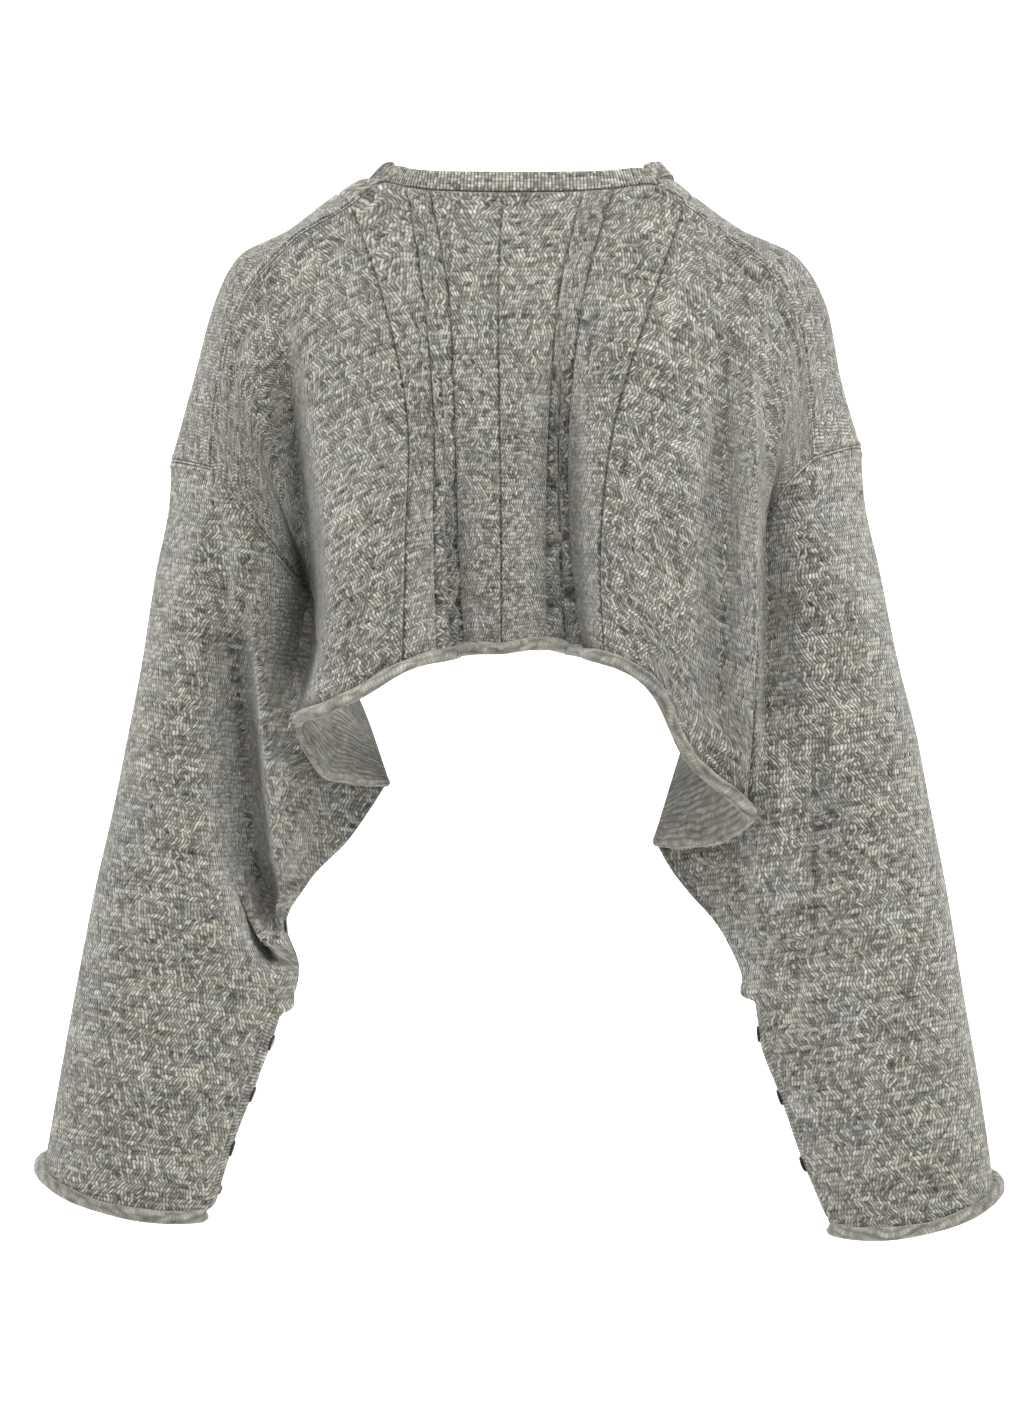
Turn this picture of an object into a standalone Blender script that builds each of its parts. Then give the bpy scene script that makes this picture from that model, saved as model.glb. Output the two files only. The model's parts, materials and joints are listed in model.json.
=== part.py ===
# A very short pullover sweater in marl knit, filled out and hollow, as it hangs on the wearer.
# Sizes are in millimetres. X runs to the wearer's left, Y to the front is negative, Z is up.
# The origin lies at the base of the neck, midway between the shoulders.
import math
from collections import namedtuple

import bmesh
import bpy
import numpy as np
from mathutils import Vector

MM = 0.001

# Knitted wall and the gap left at every seam
WALL = 2.2
SEAM_INSET = 0.36
UNDERARM_INSET = 2.6
LAYER_GAP = 0.35

# Raw edges that roll outwards, at the hem and at the cuffs
ROLL_RADIUS = 2.4
ROLL_TURN = math.radians(285)
ROLL_STEPS = 5
ROLL_FADE = 24.0
CUFF_ROLL_FADE = 6.0

# Slim cables and single sunken wales
CABLE_HEIGHT = 1.3
CABLE_PITCH = 41.0
STRAND_HALF = 0.27
STRAND_SHIFT = 0.25
GROOVE_DEPTH = 0.9
GROOVE_HALF = 0.05

# Ribbed neckband
BAND_HEIGHT = 15.0
BAND_WALL = 2.4
BAND_GAP = 1.1
RIB_WIDTH = 2.45
RIB_HEIGHT = 0.5
RIBS_PER_INNER_STEP = 3
BACK_LEAN = 12.0
FRONT_LEAN = 30.0
SIDE_LEAN = 42.0
NECK_HALF_WIDTH = 104.0

# Open end of the underarm seam, the strip behind it and its buttons: distances along the sleeve
Placket = namedtuple("Placket", "start full buttons turns")
PLACKETS = {
    "left": Placket(0.54, 0.62, (0.385, 0.50, 0.655, 0.77, 0.895), (0, -20, 0, 0, 0)),
    "right": Placket(0.38, 0.48, (0.19, 0.33, 0.535, 0.745, 0.895), (-28, -12, 0, 0, 0)),
}
SLIT_BACK = math.radians(28)
SLIT_FRONT = math.radians(20)
STRIP_WALL = 2.0
STRIP_DEPTH = 1.9
STRIP_OVERLAP = math.radians(5)
BUTTON_RADIUS = 6.0
BUTTON_THICKNESS = 2.6
BUTTON_EDGE = 0.6

# Grid steps
BODY_ROWS = 36
BODY_INNER_STEP = 3
SLEEVE_ROWS = 18
SLEEVE_INNER_STEP = 2
SLEEVE_COLUMN_STEP = 3
STRIP_COLUMNS = 7

# Lines that run down the back from the neck or shoulder seam to the hem
BackLine = namedtuple("BackLine", "name steps top upper middle lower hem")
BACK_LEFT = [BackLine(*row) for row in (
    ("seam", 1, (211, 44, -196), (174, 56, -241), (141, 38, -289), (115, 20, -350), (93, 2, -415)),
    ("arm", 1, (208, 43, -148), (178, 60, -198), (151, 54, -254), (124, 40, -322), (114, 26, -411)),
    ("valley", 2, (199, 40, -100), (179, 62, -157), (159, 66, -219), (136, 60, -296), (131, 48, -404)),
    ("ridge", 2, (181, 34, -62), (156, 68, -130), (135, 84, -200), (122, 92, -279), (142, 74, -369)),
    ("flank", 1, (168, 32, -48), (141, 72, -118), (121, 91, -190), (109, 101, -270), (120, 92, -361)),
    ("mid", 2, (154, 30, -34), (124, 74, -106), (105, 96, -180), (94, 107, -262), (97, 104, -351)),
    ("groove", 1, (115, 34, -12), (83, 88, -91), (66, 106, -167), (66, 110, -249), (68, 110, -334)),
    ("neck", 1, (95, 28, 4), (67, 92, -88), (56, 106, -166), (56, 105, -245), (55, 103, -329)),
    ("cable_out", 6, (75, 46, -1), (56, 95, -86), (48, 105, -165), (48, 100, -243), (46, 96, -327)),
    ("cable_in", 2, (58, 53, -4), (39, 96, -86), (34, 107, -164), (33, 102, -242), (29, 98, -323)),
    ("centre", 0, (6, 60, -7), (5, 97, -86), (3, 108, -164), (2, 107, -242), (2, 103, -322)),
)]
BACK_RIGHT = [BackLine(*row) for row in (
    ("seam", 1, (-208, 44, -191), (-184, 54, -218), (-160, 40, -261), (-129, 16, -350), (-95, 2, -456)),
    ("arm", 1, (-204, 42, -146), (-188, 60, -188), (-171, 56, -238), (-146, 40, -320), (-120, 26, -455)),
    ("valley", 2, (-197, 40, -100), (-189, 62, -159), (-179, 66, -214), (-164, 62, -289), (-144, 48, -450)),
    ("ridge", 2, (-178, 34, -61), (-169, 68, -132), (-167, 84, -208), (-168, 92, -303), (-162, 74, -431)),
    ("flank", 1, (-163, 31, -48), (-151, 72, -119), (-140, 94, -195), (-134, 103, -286), (-125, 92, -396)),
    ("mid", 2, (-148, 30, -38), (-133, 76, -105), (-112, 100, -182), (-99, 109, -263), (-102, 106, -349)),
    ("groove", 1, (-118, 34, -14), (-98, 88, -89), (-76, 106, -165), (-66, 111, -243), (-68, 110, -328)),
    ("neck", 1, (-98, 28, 0), (-76, 92, -88), (-58, 106, -165), (-54, 106, -242), (-59, 103, -326)),
    ("cable_out", 6, (-70, 47, -4), (-52, 94, -86), (-44, 104, -164), (-44, 98, -242), (-52, 92, -323)),
    ("cable_in", 2, (-50, 54, -6), (-36, 96, -86), (-32, 107, -165), (-29, 101, -242), (-29, 94, -319)),
)]

# Lines that run from the same seam over the shoulder and down the front. Where one crosses the top
# of the shoulder is given for both sides, the rest is mirrored
FrontLine = namedtuple("FrontLine", "name steps over_left over_right chest waist hem")
FRONT = [FrontLine(*row) for row in (
    ("seam", 1, (246, 0, -188), (-235, 0, -181), (207, -54, -217), (158, -50, -293), None),
    ("arm", 1, (231, 1, -132), (-222, 1, -133), (203, -60, -174), (163, -68, -270), (114, -24, -402)),
    ("valley", 2, (216, 2, -77), (-212, 2, -81), (193, -66, -135), (162, -86, -250), (126, -46, -382)),
    ("ridge", 2, (197, 2, -43), (-191, 2, -47), (172, -84, -108), (138, -110, -232), (129, -84, -350)),
    ("flank", 1, (180, 2, -34), (-174, 2, -38), (150, -94, -98), (115, -120, -226), (108, -112, -333)),
    ("mid", 2, (163, 0, -26), (-156, 0, -30), (128, -100, -92), (94, -127, -222), (88, -124, -325)),
    ("groove", 1, (129, 0, -1), (-122, 0, -6), (100, -104, -86), (72, -130, -219), (66, -129, -320)),
    ("neck", 2, (113, 2, 7), (-109, 2, 4), (92, -105, -84), (62, -131, -218), (57, -130, -319)),
    ("side", 3, (107, -38, -12), (-107, -38, -12), (84, -106, -84), (54, -132, -217), (50, -131, -318)),
    ("cable_out", 4, (72, -78, -55), (-72, -78, -55), (62, -112, -92), (46, -133, -217), (43, -132, -317)),
    ("cable_in", 3, (58, -84, -63), (-58, -84, -63), (48, -116, -98), (32, -134, -217), (29, -132, -316)),
    ("centre", 0, (0, -93, -76), (0, -93, -76), (0, -120, -110), (0, -135, -217), (0, -132, -316)),
)]
# Where the last of those lines start, on the front of the neck seam
NECK_FRONT = {
    "side": (107, -4, 9), "cable_out": (76, -50, -33), "cable_in": (62, -57, -40), "centre": (0, -70, -54),
}

# Sleeve rings: outer and inner edge as x and z, half depth to the back and front, droop of the back
Ring = namedtuple("Ring", "along outer inner back front droop")
SLEEVE_LEFT = (
    Ring(0.00, (246, -188), (93, -415), 52, 52, 0),
    Ring(0.07, (248, -222), (107, -437), 52, 51, 0),
    Ring(0.15, (257, -264), (122, -458), 52, 50, 0),
    Ring(0.28, (269, -337), (150, -486), 54, 52, 0),
    Ring(0.38, (279, -388), (166, -514), 54, 52, 0),
    Ring(0.47, (288, -432), (157, -543), 52, 50, 0),
    Ring(0.60, (301, -488), (166, -582), 50, 46, 0),
    Ring(0.75, (316, -564), (183, -630), 47, 44, 4),
    Ring(0.88, (328, -629), (198, -669), 44, 42, 9),
    Ring(1.00, (338, -685), (211, -711), 42, 40, 16),
)
SLEEVE_RIGHT = (
    Ring(0.00, (-235, -181), (-95, -456), 52, 52, 0),
    Ring(0.07, (-238, -220), (-104, -473), 52, 51, 0),
    Ring(0.15, (-248, -261), (-118, -492), 52, 50, 0),
    Ring(0.28, (-264, -332), (-144, -523), 54, 52, 0),
    Ring(0.38, (-276, -378), (-157, -551), 54, 52, 0),
    Ring(0.47, (-285, -425), (-162, -578), 52, 50, 0),
    Ring(0.60, (-297, -486), (-165, -600), 50, 46, 0),
    Ring(0.75, (-309, -560), (-179, -636), 47, 44, 5),
    Ring(0.88, (-320, -624), (-193, -676), 44, 42, 11),
    Ring(1.00, (-330, -694), (-209, -713), 42, 40, 18),
)
POINTED = 0.35
RING_BLEND = 0.34

# Largest folds of the sleeves: distance along, angle around from the underarm by the back
Fold = namedtuple("Fold", "side path half_width height")
SLEEVE_FOLDS = (
    Fold("left", ((0.04, 135), (0.22, 95), (0.36, 58), (0.44, 40)), 17, -11),
    Fold("left", ((0.04, 112), (0.20, 70), (0.34, 44), (0.40, 28)), 12, 6),
    Fold("right", ((0.05, 112), (0.24, 88), (0.42, 66), (0.56, 52)), 15, -7),
    Fold("right", ((0.05, 90), (0.24, 66), (0.34, 46)), 12, 5),
    Fold("left", ((0.05, 262), (0.30, 282), (0.55, 312)), 15, -8),
    Fold("right", ((0.05, 258), (0.28, 276), (0.52, 300)), 15, -8),
)
FOLD_FADE = 0.13
SLEEVE_LENGTH = 500.0
SLEEVE_GIRTH = 440.0

KNIT_COLOUR = (0.32, 0.305, 0.28, 1)
BUTTON_COLOUR = (0.012, 0.011, 0.011, 1)


def unit(vectors):
    return vectors / np.maximum(np.linalg.norm(vectors, axis=-1, keepdims=True), 1e-9)


def smooth_through(knots, points, places):
    """Smooth curve through points, read at the given places between the knots."""
    knots = np.asarray(knots, float)
    points = np.asarray(points, float)
    places = np.asarray(places, float)
    spans = np.diff(knots)
    shape = (-1,) + (1,) * (points.ndim - 1)
    rise = np.diff(points, axis=0) / spans.reshape(shape)
    before = spans[:-1].reshape(shape)
    after = spans[1:].reshape(shape)
    inner = (before * rise[1:] + after * rise[:-1]) / (before + after)
    first = 1.5 * rise[:1] - 0.5 * inner[:1]
    last = 1.5 * rise[-1:] - 0.5 * inner[-1:]
    slopes = np.concatenate([first, inner, last])
    index = np.clip(np.searchsorted(knots, places, side="right") - 1, 0, len(spans) - 1)
    width = spans[index].reshape(shape)
    t = ((places - knots[index]) / spans[index]).reshape(shape)
    return (
        (2 * t**3 - 3 * t**2 + 1) * points[index]
        + (t**3 - 2 * t**2 + t) * width * slopes[index]
        + (3 * t**2 - 2 * t**3) * points[index + 1]
        + (t**3 - t**2) * width * slopes[index + 1]
    )


def smoothstep(low, high, value):
    t = np.clip((value - low) / (high - low), 0.0, 1.0)
    return t * t * (3 - 2 * t)


def mean_knots(points, axis):
    """Knots for the lines along an axis, spaced by their mean distance."""
    steps = np.linalg.norm(np.diff(points, axis=axis), axis=-1)
    mean = steps.mean(axis=1 - axis)
    return np.concatenate([[0.0], np.cumsum(mean)])


def column_places(lines):
    """Places of the grid's columns, as line number and fraction; sunken wales get close neighbours."""
    places = []
    for number, line in enumerate(lines):
        steps = line.steps
        places += [number + step / steps for step in range(steps)] if steps else [float(number)]
        if line.name in ("groove", "centre"):
            places += [number - GROOVE_HALF, number + GROOVE_HALF]
    return np.array(sorted(places))


def panel_grid(lines, stations, rows):
    """Points of a panel, rows down and columns from the left armhole to the right one."""
    stations = np.array(stations, float)
    down = mean_knots(stations, 1)
    across = mean_knots(stations, 0)
    fractions = np.linspace(0, 1, rows + 1)
    lengthwise = smooth_through(down, np.swapaxes(stations, 0, 1), fractions * down[-1])
    columns = column_places(lines)
    places = np.interp(columns, np.arange(len(across)), across)
    grid = smooth_through(across, np.swapaxes(lengthwise, 0, 1), places)
    return np.swapaxes(grid, 0, 1), columns


def both_sides(left, right):
    """Left lines, then the right ones in reverse, each with the steps of the span that follows it."""
    ordered = list(left)
    for line in reversed(right):
        following = {other.name: other.steps for other in right}
        names = [other.name for other in right]
        outer = names[names.index(line.name) - 1] if line.name != names[0] else None
        ordered.append(line._replace(steps=following[outer] if outer else 0))
    spans = [line.steps for line in ordered]
    spans[len(left) - 1] = right[-1].steps
    return [line._replace(steps=steps) for line, steps in zip(ordered, spans)]


def mirrored(point):
    return (-point[0], point[1], point[2])


def back_panel_grid():
    lines = both_sides(BACK_LEFT, BACK_RIGHT)
    stations = [(line.top, line.upper, line.middle, line.lower, line.hem) for line in lines]
    return lines, panel_grid(lines, stations, BODY_ROWS)


def front_panel_grid(back_lines):
    left = list(FRONT)
    right = list(FRONT[:-1])
    lines = both_sides(left, right)
    half = len(left)
    tops = {("left", line.name): line.top for line in BACK_LEFT}
    tops |= {("right", line.name): line.top for line in BACK_RIGHT}
    hems = {"left": BACK_LEFT[0].hem, "right": BACK_RIGHT[0].hem}
    stations = []
    for number, line in enumerate(lines):
        side = "left" if number < half else "right"
        turn = mirrored if side == "right" else tuple
        top = turn(NECK_FRONT[line.name]) if line.name in NECK_FRONT else tops[side, line.name]
        over = line.over_left if side == "left" else line.over_right
        hem = turn(line.hem) if line.hem else hems[side]
        stations.append((top, over, turn(line.chest), turn(line.waist), hem))
    return lines, panel_grid(lines, stations, BODY_ROWS)


def grid_normals(grid, outward):
    """Normals of a grid of points, on the side that the sign of outward picks."""
    down = np.gradient(grid, axis=0)
    across = np.gradient(grid, axis=1)
    return unit(np.cross(down, across)) * outward


def share_normals(first, second):
    """One normal for both panels at a seam, except where the cloth turns back on itself."""
    agree = smoothstep(-0.7, -0.2, (first * second).sum(axis=-1))[..., None]
    mean = unit(first + second + 1e-6)
    return unit(first + (mean - first) * agree), unit(second + (mean - second) * agree)


def cable_relief(fraction, distance):
    """Height of two strands that cross at each pitch, at a fraction of the cable's width."""
    swing = np.clip(1.7 * np.cos(math.pi * distance / CABLE_PITCH), -1, 1)
    height = np.zeros_like(swing)
    for sign in (-1, 1):
        middle = 0.5 + sign * STRAND_SHIFT * swing
        height = np.maximum(height, 1 - ((fraction - middle) / STRAND_HALF) ** 2)
    return CABLE_HEIGHT * height


def panel_relief(lines, columns, grid):
    """Height of the cables and depth of the sunken wales at each point of a panel."""
    relief = np.zeros(grid.shape[:2])
    steps = np.linalg.norm(np.diff(grid, axis=0), axis=-1)
    distance = np.concatenate([np.zeros((1, grid.shape[1])), np.cumsum(steps, axis=0)])
    for number, line in enumerate(lines):
        on_line = np.abs(columns - number) < 0.01
        if line.name in ("groove", "centre"):
            relief[:, on_line] = -GROOVE_DEPTH
        if line.steps > 3:
            inside = (columns > number) & (columns < number + 1)
            relief[:, inside] = cable_relief(columns[inside] - number, distance[:, inside])
    edge = smoothstep(0, 4, distance) * smoothstep(0, 3, distance[-1] - distance)
    return relief * edge


def inward(border, neighbours):
    """Directions from a border into the cloth, square to the border."""
    along = unit(np.gradient(border, axis=0))
    across = neighbours - border
    return unit(across - along * (across * along).sum(axis=-1, keepdims=True))


def pull_in(grid, corner):
    """Draws the sewn borders of a grid in along its surface, to leave the gap of a seam.

    The corner is the row, first or last, whose two ends come to the underarm."""
    moved = grid.copy()
    side = np.full(len(grid), SEAM_INSET)
    side[corner] = UNDERARM_INSET
    moved[0] += inward(grid[0], grid[1]) * SEAM_INSET
    moved[:, 0] += inward(grid[:, 0], grid[:, 1]) * side[:, None]
    moved[:, -1] += inward(grid[:, -1], grid[:, -2]) * side[:, None]
    return moved


def rolled_edge(grid, normals, fade):
    """Rows that curl outwards past the last row of a grid, and their normals."""
    down = -inward(grid[-1], grid[-2])
    out = unit(normals[-1] - down * (normals[-1] * down).sum(axis=-1, keepdims=True))
    steps = np.linalg.norm(np.diff(grid[-1], axis=0), axis=-1)
    distance = np.concatenate([[0.0], np.cumsum(steps)])
    size = smoothstep(0, fade, distance) * smoothstep(0, fade, distance[-1] - distance)
    radius = (ROLL_RADIUS * (0.3 + 0.7 * size))[:, None]
    turn = (ROLL_TURN * (0.3 + 0.7 * size))[:, None]
    rows = []
    row_normals = []
    for step in range(1, ROLL_STEPS + 1):
        angle = turn * step / ROLL_STEPS
        rows.append(grid[-1] + radius * (down * np.sin(angle) + out * (1 - np.cos(angle))))
        row_normals.append(out * np.cos(angle) - down * np.sin(angle))
    return np.array(rows), np.array(row_normals)


def bridge(mesh, outer, inner):
    """Faces between two border paths; each is a list of place and vertex."""
    i = 0
    j = 0
    while i < len(outer) - 1 or j < len(inner) - 1:
        next_outer = outer[i + 1][0] if i < len(outer) - 1 else math.inf
        next_inner = inner[j + 1][0] if j < len(inner) - 1 else math.inf
        if next_outer <= next_inner:
            mesh.faces.new((outer[i][1], outer[i + 1][1], inner[j][1]))
            i += 1
        else:
            mesh.faces.new((outer[i][1], inner[j + 1][1], inner[j][1]))
            j += 1


def grid_faces(mesh, verts, rows, columns, ring):
    """Quads between the named rows and columns of a grid of vertices."""
    pairs = list(zip(columns, columns[1:]))
    if ring:
        pairs.append((columns[-1], columns[0]))
    for r, s in zip(rows, rows[1:]):
        for c, d in pairs:
            mesh.faces.new((verts[r, c], verts[s, c], verts[s, d], verts[r, d]))


def row_path(verts, row, columns, width, ring):
    path = [(c, verts[row, c]) for c in columns]
    return path + [(width, verts[row, columns[0]])] if ring else path


def skin(mesh, points, rows, first, columns, ring):
    """One side of a wall, with its own choice of columns in the first row."""
    width = points.shape[1]
    verts = {}
    for r in rows:
        for c in first if r == 0 else columns:
            verts[r, c] = mesh.verts.new(points[r, c] * MM)
    if first == columns:
        grid_faces(mesh, verts, rows, columns, ring)
    else:
        bridge(mesh, row_path(verts, 0, first, width, ring), row_path(verts, rows[1], columns, width, ring))
        grid_faces(mesh, verts, rows[1:], columns, ring)
    edges = [row_path(verts, 0, first, width, ring), row_path(verts, rows[-1], columns, width, ring)]
    if not ring:
        edges += [[(r, verts[r, c]) for r in rows] for c in (0, width - 1)]
    return edges


def wall_object(name, outer, inner, inner_rows, outer_columns, inner_columns, ring=False):
    """A closed wall between an outer grid and a plainer inner one; columns are those of the first row
    and those of the others."""
    mesh = bmesh.new()
    outside = skin(mesh, outer, list(range(len(outer))), *outer_columns, ring)
    inside = skin(mesh, inner, inner_rows, *inner_columns, ring)
    for outer_edge, inner_edge in zip(outside, inside):
        bridge(mesh, outer_edge, inner_edge)
    bmesh.ops.recalc_face_normals(mesh, faces=mesh.faces)
    if mesh.calc_volume(signed=True) < 0:
        bmesh.ops.reverse_faces(mesh, faces=mesh.faces)
    return finish_object(name, mesh, plain_material(name, KNIT_COLOUR, 0.95))


def finish_object(name, mesh, material):
    data = bpy.data.meshes.new(name)
    mesh.to_mesh(data)
    mesh.free()
    data.materials.append(material)
    data.shade_smooth()
    data.set_sharp_from_angle(angle=math.radians(50))
    made = bpy.data.objects.new(name, data)
    bpy.data.collections["pullover_sweater"].objects.link(made)
    return made


def plain_material(name, colour, roughness):
    material = bpy.data.materials.new(name)
    material.use_nodes = True
    shader = material.node_tree.nodes["Principled BSDF"]
    shader.inputs["Base Color"].default_value = colour
    shader.inputs["Roughness"].default_value = roughness
    shader.inputs["Metallic"].default_value = 0.0
    return material


def every(count, step):
    """Numbers up to count in steps, with the last one always in."""
    return sorted(set(range(0, count, step)) | {count})


def knitted_panel(name, grid, normals, relief, fade, inner_step, columns, corner):
    """A wall panel: relief on its outer points, plain inside, and a rolled lower edge."""
    base = pull_in(grid, corner)
    roll, roll_normals = rolled_edge(base, normals, fade)
    outer = np.concatenate([base + normals * relief[..., None], roll])
    inner = np.concatenate([base, roll]) - np.concatenate([normals, roll_normals]) * WALL
    rows = every(len(grid) - 1, inner_step) + list(range(len(grid), len(outer)))
    return wall_object(name, outer, inner, rows, *columns)


def neck_columns(lines, columns):
    """Grid columns at which the shoulder seams meet the neckband."""
    places = [number for number, line in enumerate(lines) if line.name == "neck"]
    return [int(np.argmin(np.abs(columns - place))) for place in places]


def arc_fractions(points):
    steps = np.linalg.norm(np.diff(points, axis=0), axis=-1)
    distance = np.concatenate([[0.0], np.cumsum(steps)])
    return distance / distance[-1]


def fold_height(side, along, around):
    """Height of the large sleeve folds at each place; angles in degrees."""
    height = np.zeros(np.broadcast(along, around).shape)
    for fold in SLEEVE_FOLDS:
        if fold.side != side:
            continue
        path = np.array(fold.path, float)
        middle = np.interp(along, path[:, 0], path[:, 1])
        distance = (around - middle) / 360 * SLEEVE_GIRTH
        beyond = np.maximum(path[0, 0] - along, along - path[-1, 0]) * SLEEVE_LENGTH
        distance = np.hypot(distance, np.maximum(beyond, 0))
        height += fold.height * np.exp(-((distance / fold.half_width) ** 2))
    return height


class Sleeve:
    """The form of one sleeve: from the armhole loop to the cuff, read at any place and angle."""

    def __init__(self, side, table, loop, over_index):
        self.side = side
        self.placket = PLACKETS[side]
        self.knots = [ring.along for ring in table]
        self.outer = [(ring.outer[0], 0, ring.outer[1]) for ring in table]
        self.inner = [(ring.inner[0], 2, ring.inner[1]) for ring in table]
        self.depths = [(ring.back, ring.front, ring.droop) for ring in table]
        before = arc_fractions(loop[: over_index + 1])
        after = arc_fractions(loop[over_index:])
        self.turn = np.concatenate([before, 1 + after[1:]]) * math.pi
        centre, half = self.frame(np.array([0.0]))
        local = ((loop - centre[0]) @ half[0]) / (half[0] @ half[0])
        self.loop_local = local
        self.loop_rest = loop - centre[0] - local[:, None] * half[0]

    def frame(self, along):
        outer = smooth_through(self.knots, self.outer, along)
        inner = smooth_through(self.knots, self.inner, along)
        return (outer + inner) / 2, (outer - inner) / 2

    def points(self, along, turn):
        """Points for arrays of the same shape, without the folds."""
        shape = turn.shape
        along = along.ravel()
        turn = turn.ravel()
        centre, half = self.frame(along)
        back, front, droop = smooth_through(self.knots, self.depths, along).T
        near = (1 + np.cos(turn)) / 2
        depth = np.where(np.sin(turn) > 0, back, front) * np.sin(turn) * (1 - POINTED * near**2)
        ring = centre - half * np.cos(turn)[:, None]
        ring[:, 1] += depth
        ring[:, 2] -= droop * np.sin(turn)
        local = np.interp(turn, self.turn, self.loop_local)[:, None]
        rest = np.stack([np.interp(turn, self.turn, self.loop_rest[:, k]) for k in range(3)], 1)
        from_loop = centre + half * local + rest
        blend = smoothstep(0, RING_BLEND, along)[:, None]
        return (from_loop + (ring - from_loop) * blend).reshape(*shape, 3)

    def slit(self, along):
        """Angles at which the sleeve's two long edges lie."""
        opened = smoothstep(self.placket.start, self.placket.full, along)
        return SLIT_BACK * opened, 2 * math.pi - SLIT_FRONT * opened

    def places(self):
        """Rows of the sleeve, with one at each end of the stretch where the slit opens."""
        opening = [self.placket.start, self.placket.full]
        even = [p for p in np.linspace(0, 1, SLEEVE_ROWS + 1) if min(abs(p - o) for o in opening) > 0.015]
        return np.array(sorted(even + opening))

    def grid(self):
        along = self.places()[:, None]
        start, end = self.slit(along)
        below = self.turn[None, :] < math.pi
        turn = np.where(
            below,
            start + self.turn * (math.pi - start) / math.pi,
            math.pi + (self.turn - math.pi) * (end - math.pi) / math.pi,
        )
        along = np.broadcast_to(along, turn.shape)
        points = self.points(along, turn)
        outward = 1 if self.side == "right" else -1
        normals = grid_normals(points, outward)
        height = fold_height(self.side, along, np.degrees(turn))
        points = points + normals * (height * smoothstep(0, FOLD_FADE, along))[..., None]
        normals = grid_normals(points, outward)
        closed = along[:, 0] <= self.placket.start
        normals[closed, 0], normals[closed, -1] = share_normals(normals[closed, 0], normals[closed, -1])
        return points, normals


    def points_on(self, grid, columns, along, turn):
        """Points on the flat faces between the rows and columns of the closed stretch."""
        row = np.interp(along, self.places(), np.arange(len(grid)))
        above = row.astype(int)
        share = (row - above)[..., None, None]
        level = grid[above] * (1 - share) + grid[above + 1] * share
        points = [
            [np.interp(t, self.turn[columns], line[columns, k]) for k in range(3)]
            for t, line in zip(turn.ravel(), level.reshape(-1, *grid.shape[1:]))
        ]
        return np.array(points).reshape(*turn.shape, 3)


def band_lean(point):
    """Angle at which the neckband leans in, in radians."""
    level = BACK_LEAN if point[1] > 0 else FRONT_LEAN
    side = min(1.0, abs(point[0]) / NECK_HALF_WIDTH) ** 2
    return math.radians(level + (SIDE_LEAN - level) * side)


def neckband(neck_loop, loop_normals):
    """A ring of narrow ribs that stands on the neck seam."""
    closed = np.concatenate([neck_loop, neck_loop[:1]])
    closed_normals = np.concatenate([loop_normals, loop_normals[:1]])
    steps = np.linalg.norm(np.diff(closed, axis=0), axis=-1)
    distance = np.concatenate([[0.0], np.cumsum(steps)])
    inner_steps = round(distance[-1] / (RIB_WIDTH * RIBS_PER_INNER_STEP))
    count = inner_steps * RIBS_PER_INNER_STEP * 2
    places = np.arange(count) / count * distance[-1]
    base = np.stack([np.interp(places, distance, closed[:, k]) for k in range(3)], axis=1)
    tangent = unit(np.roll(base, -8, axis=0) - np.roll(base, 8, axis=0))
    inward = -base * (1, 1, 0)
    inward = unit(inward - tangent * (inward * tangent).sum(axis=-1, keepdims=True))
    lean = np.array([band_lean(point) for point in base])
    rise = unit(np.cos(lean)[:, None] * np.array([0, 0, 1]) + np.sin(lean)[:, None] * inward)
    out = unit(np.cross(tangent, rise))
    out *= np.sign((out * -inward).sum(axis=-1, keepdims=True))
    rib = np.where(np.arange(count) % 2 == 0, 0.5, -0.5)[:, None] * RIB_HEIGHT
    seat_normal = np.stack([np.interp(places, distance, closed_normals[:, k]) for k in range(3)], axis=1)
    seat = base + rise * BAND_GAP
    top = seat + rise * BAND_HEIGHT
    outer = np.array([seat + unit(seat_normal) * rib, top + out * rib])
    inner = np.array([seat - unit(seat_normal) * BAND_WALL, top - out * BAND_WALL])
    every_rib = [list(range(count))] * 2
    inner_columns = [list(range(0, count, RIBS_PER_INNER_STEP * 2))] * 2
    return wall_object("neckband", outer, inner, [0, 1], every_rib, inner_columns, ring=True)


def placket(sleeve, grid, columns):
    """The strip behind the slit, and the buttons that stand on it or on the closed seam above."""
    side = sleeve.side
    outward = 1 if side == "right" else -1
    along = sleeve.places()
    along = along[along >= sleeve.placket.start][:, None]
    back_edge, front_edge = sleeve.slit(along)
    first = front_edge - 2 * math.pi - STRIP_OVERLAP
    last = back_edge + STRIP_OVERLAP
    turn = first + (last - first) * np.linspace(0, 1, STRIP_COLUMNS)
    surface = sleeve.points(np.broadcast_to(along, turn.shape), turn)
    normals = grid_normals(surface, outward)
    depth = WALL + STRIP_DEPTH
    outer = surface - normals * depth
    inner = outer - normals * STRIP_WALL
    across = list(range(STRIP_COLUMNS))
    choices = ([across, across], [across[::2]] * 2)
    wall_object(f"placket_{side}", outer, inner, list(range(len(along))), *choices)
    for number, (place, angle) in enumerate(zip(sleeve.placket.buttons, sleeve.placket.turns), 1):
        spots = np.array([[place] * 3, [place + 0.01] * 3])
        turns = math.radians(angle) + np.array([[-0.06, 0.0, 0.06]] * 2)
        if place > sleeve.placket.full:
            near = sleeve.points(spots, turns)
            sunk = depth
        else:
            near = sleeve.points_on(grid, columns, spots, turns % (2 * math.pi))
            sunk = 0.0
        normal = grid_normals(near, outward)[0, 1]
        seat = near[0, 1] - normal * sunk
        button(f"button_{side}_{number}", seat + normal * (LAYER_GAP + BUTTON_THICKNESS / 2), normal)


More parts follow.
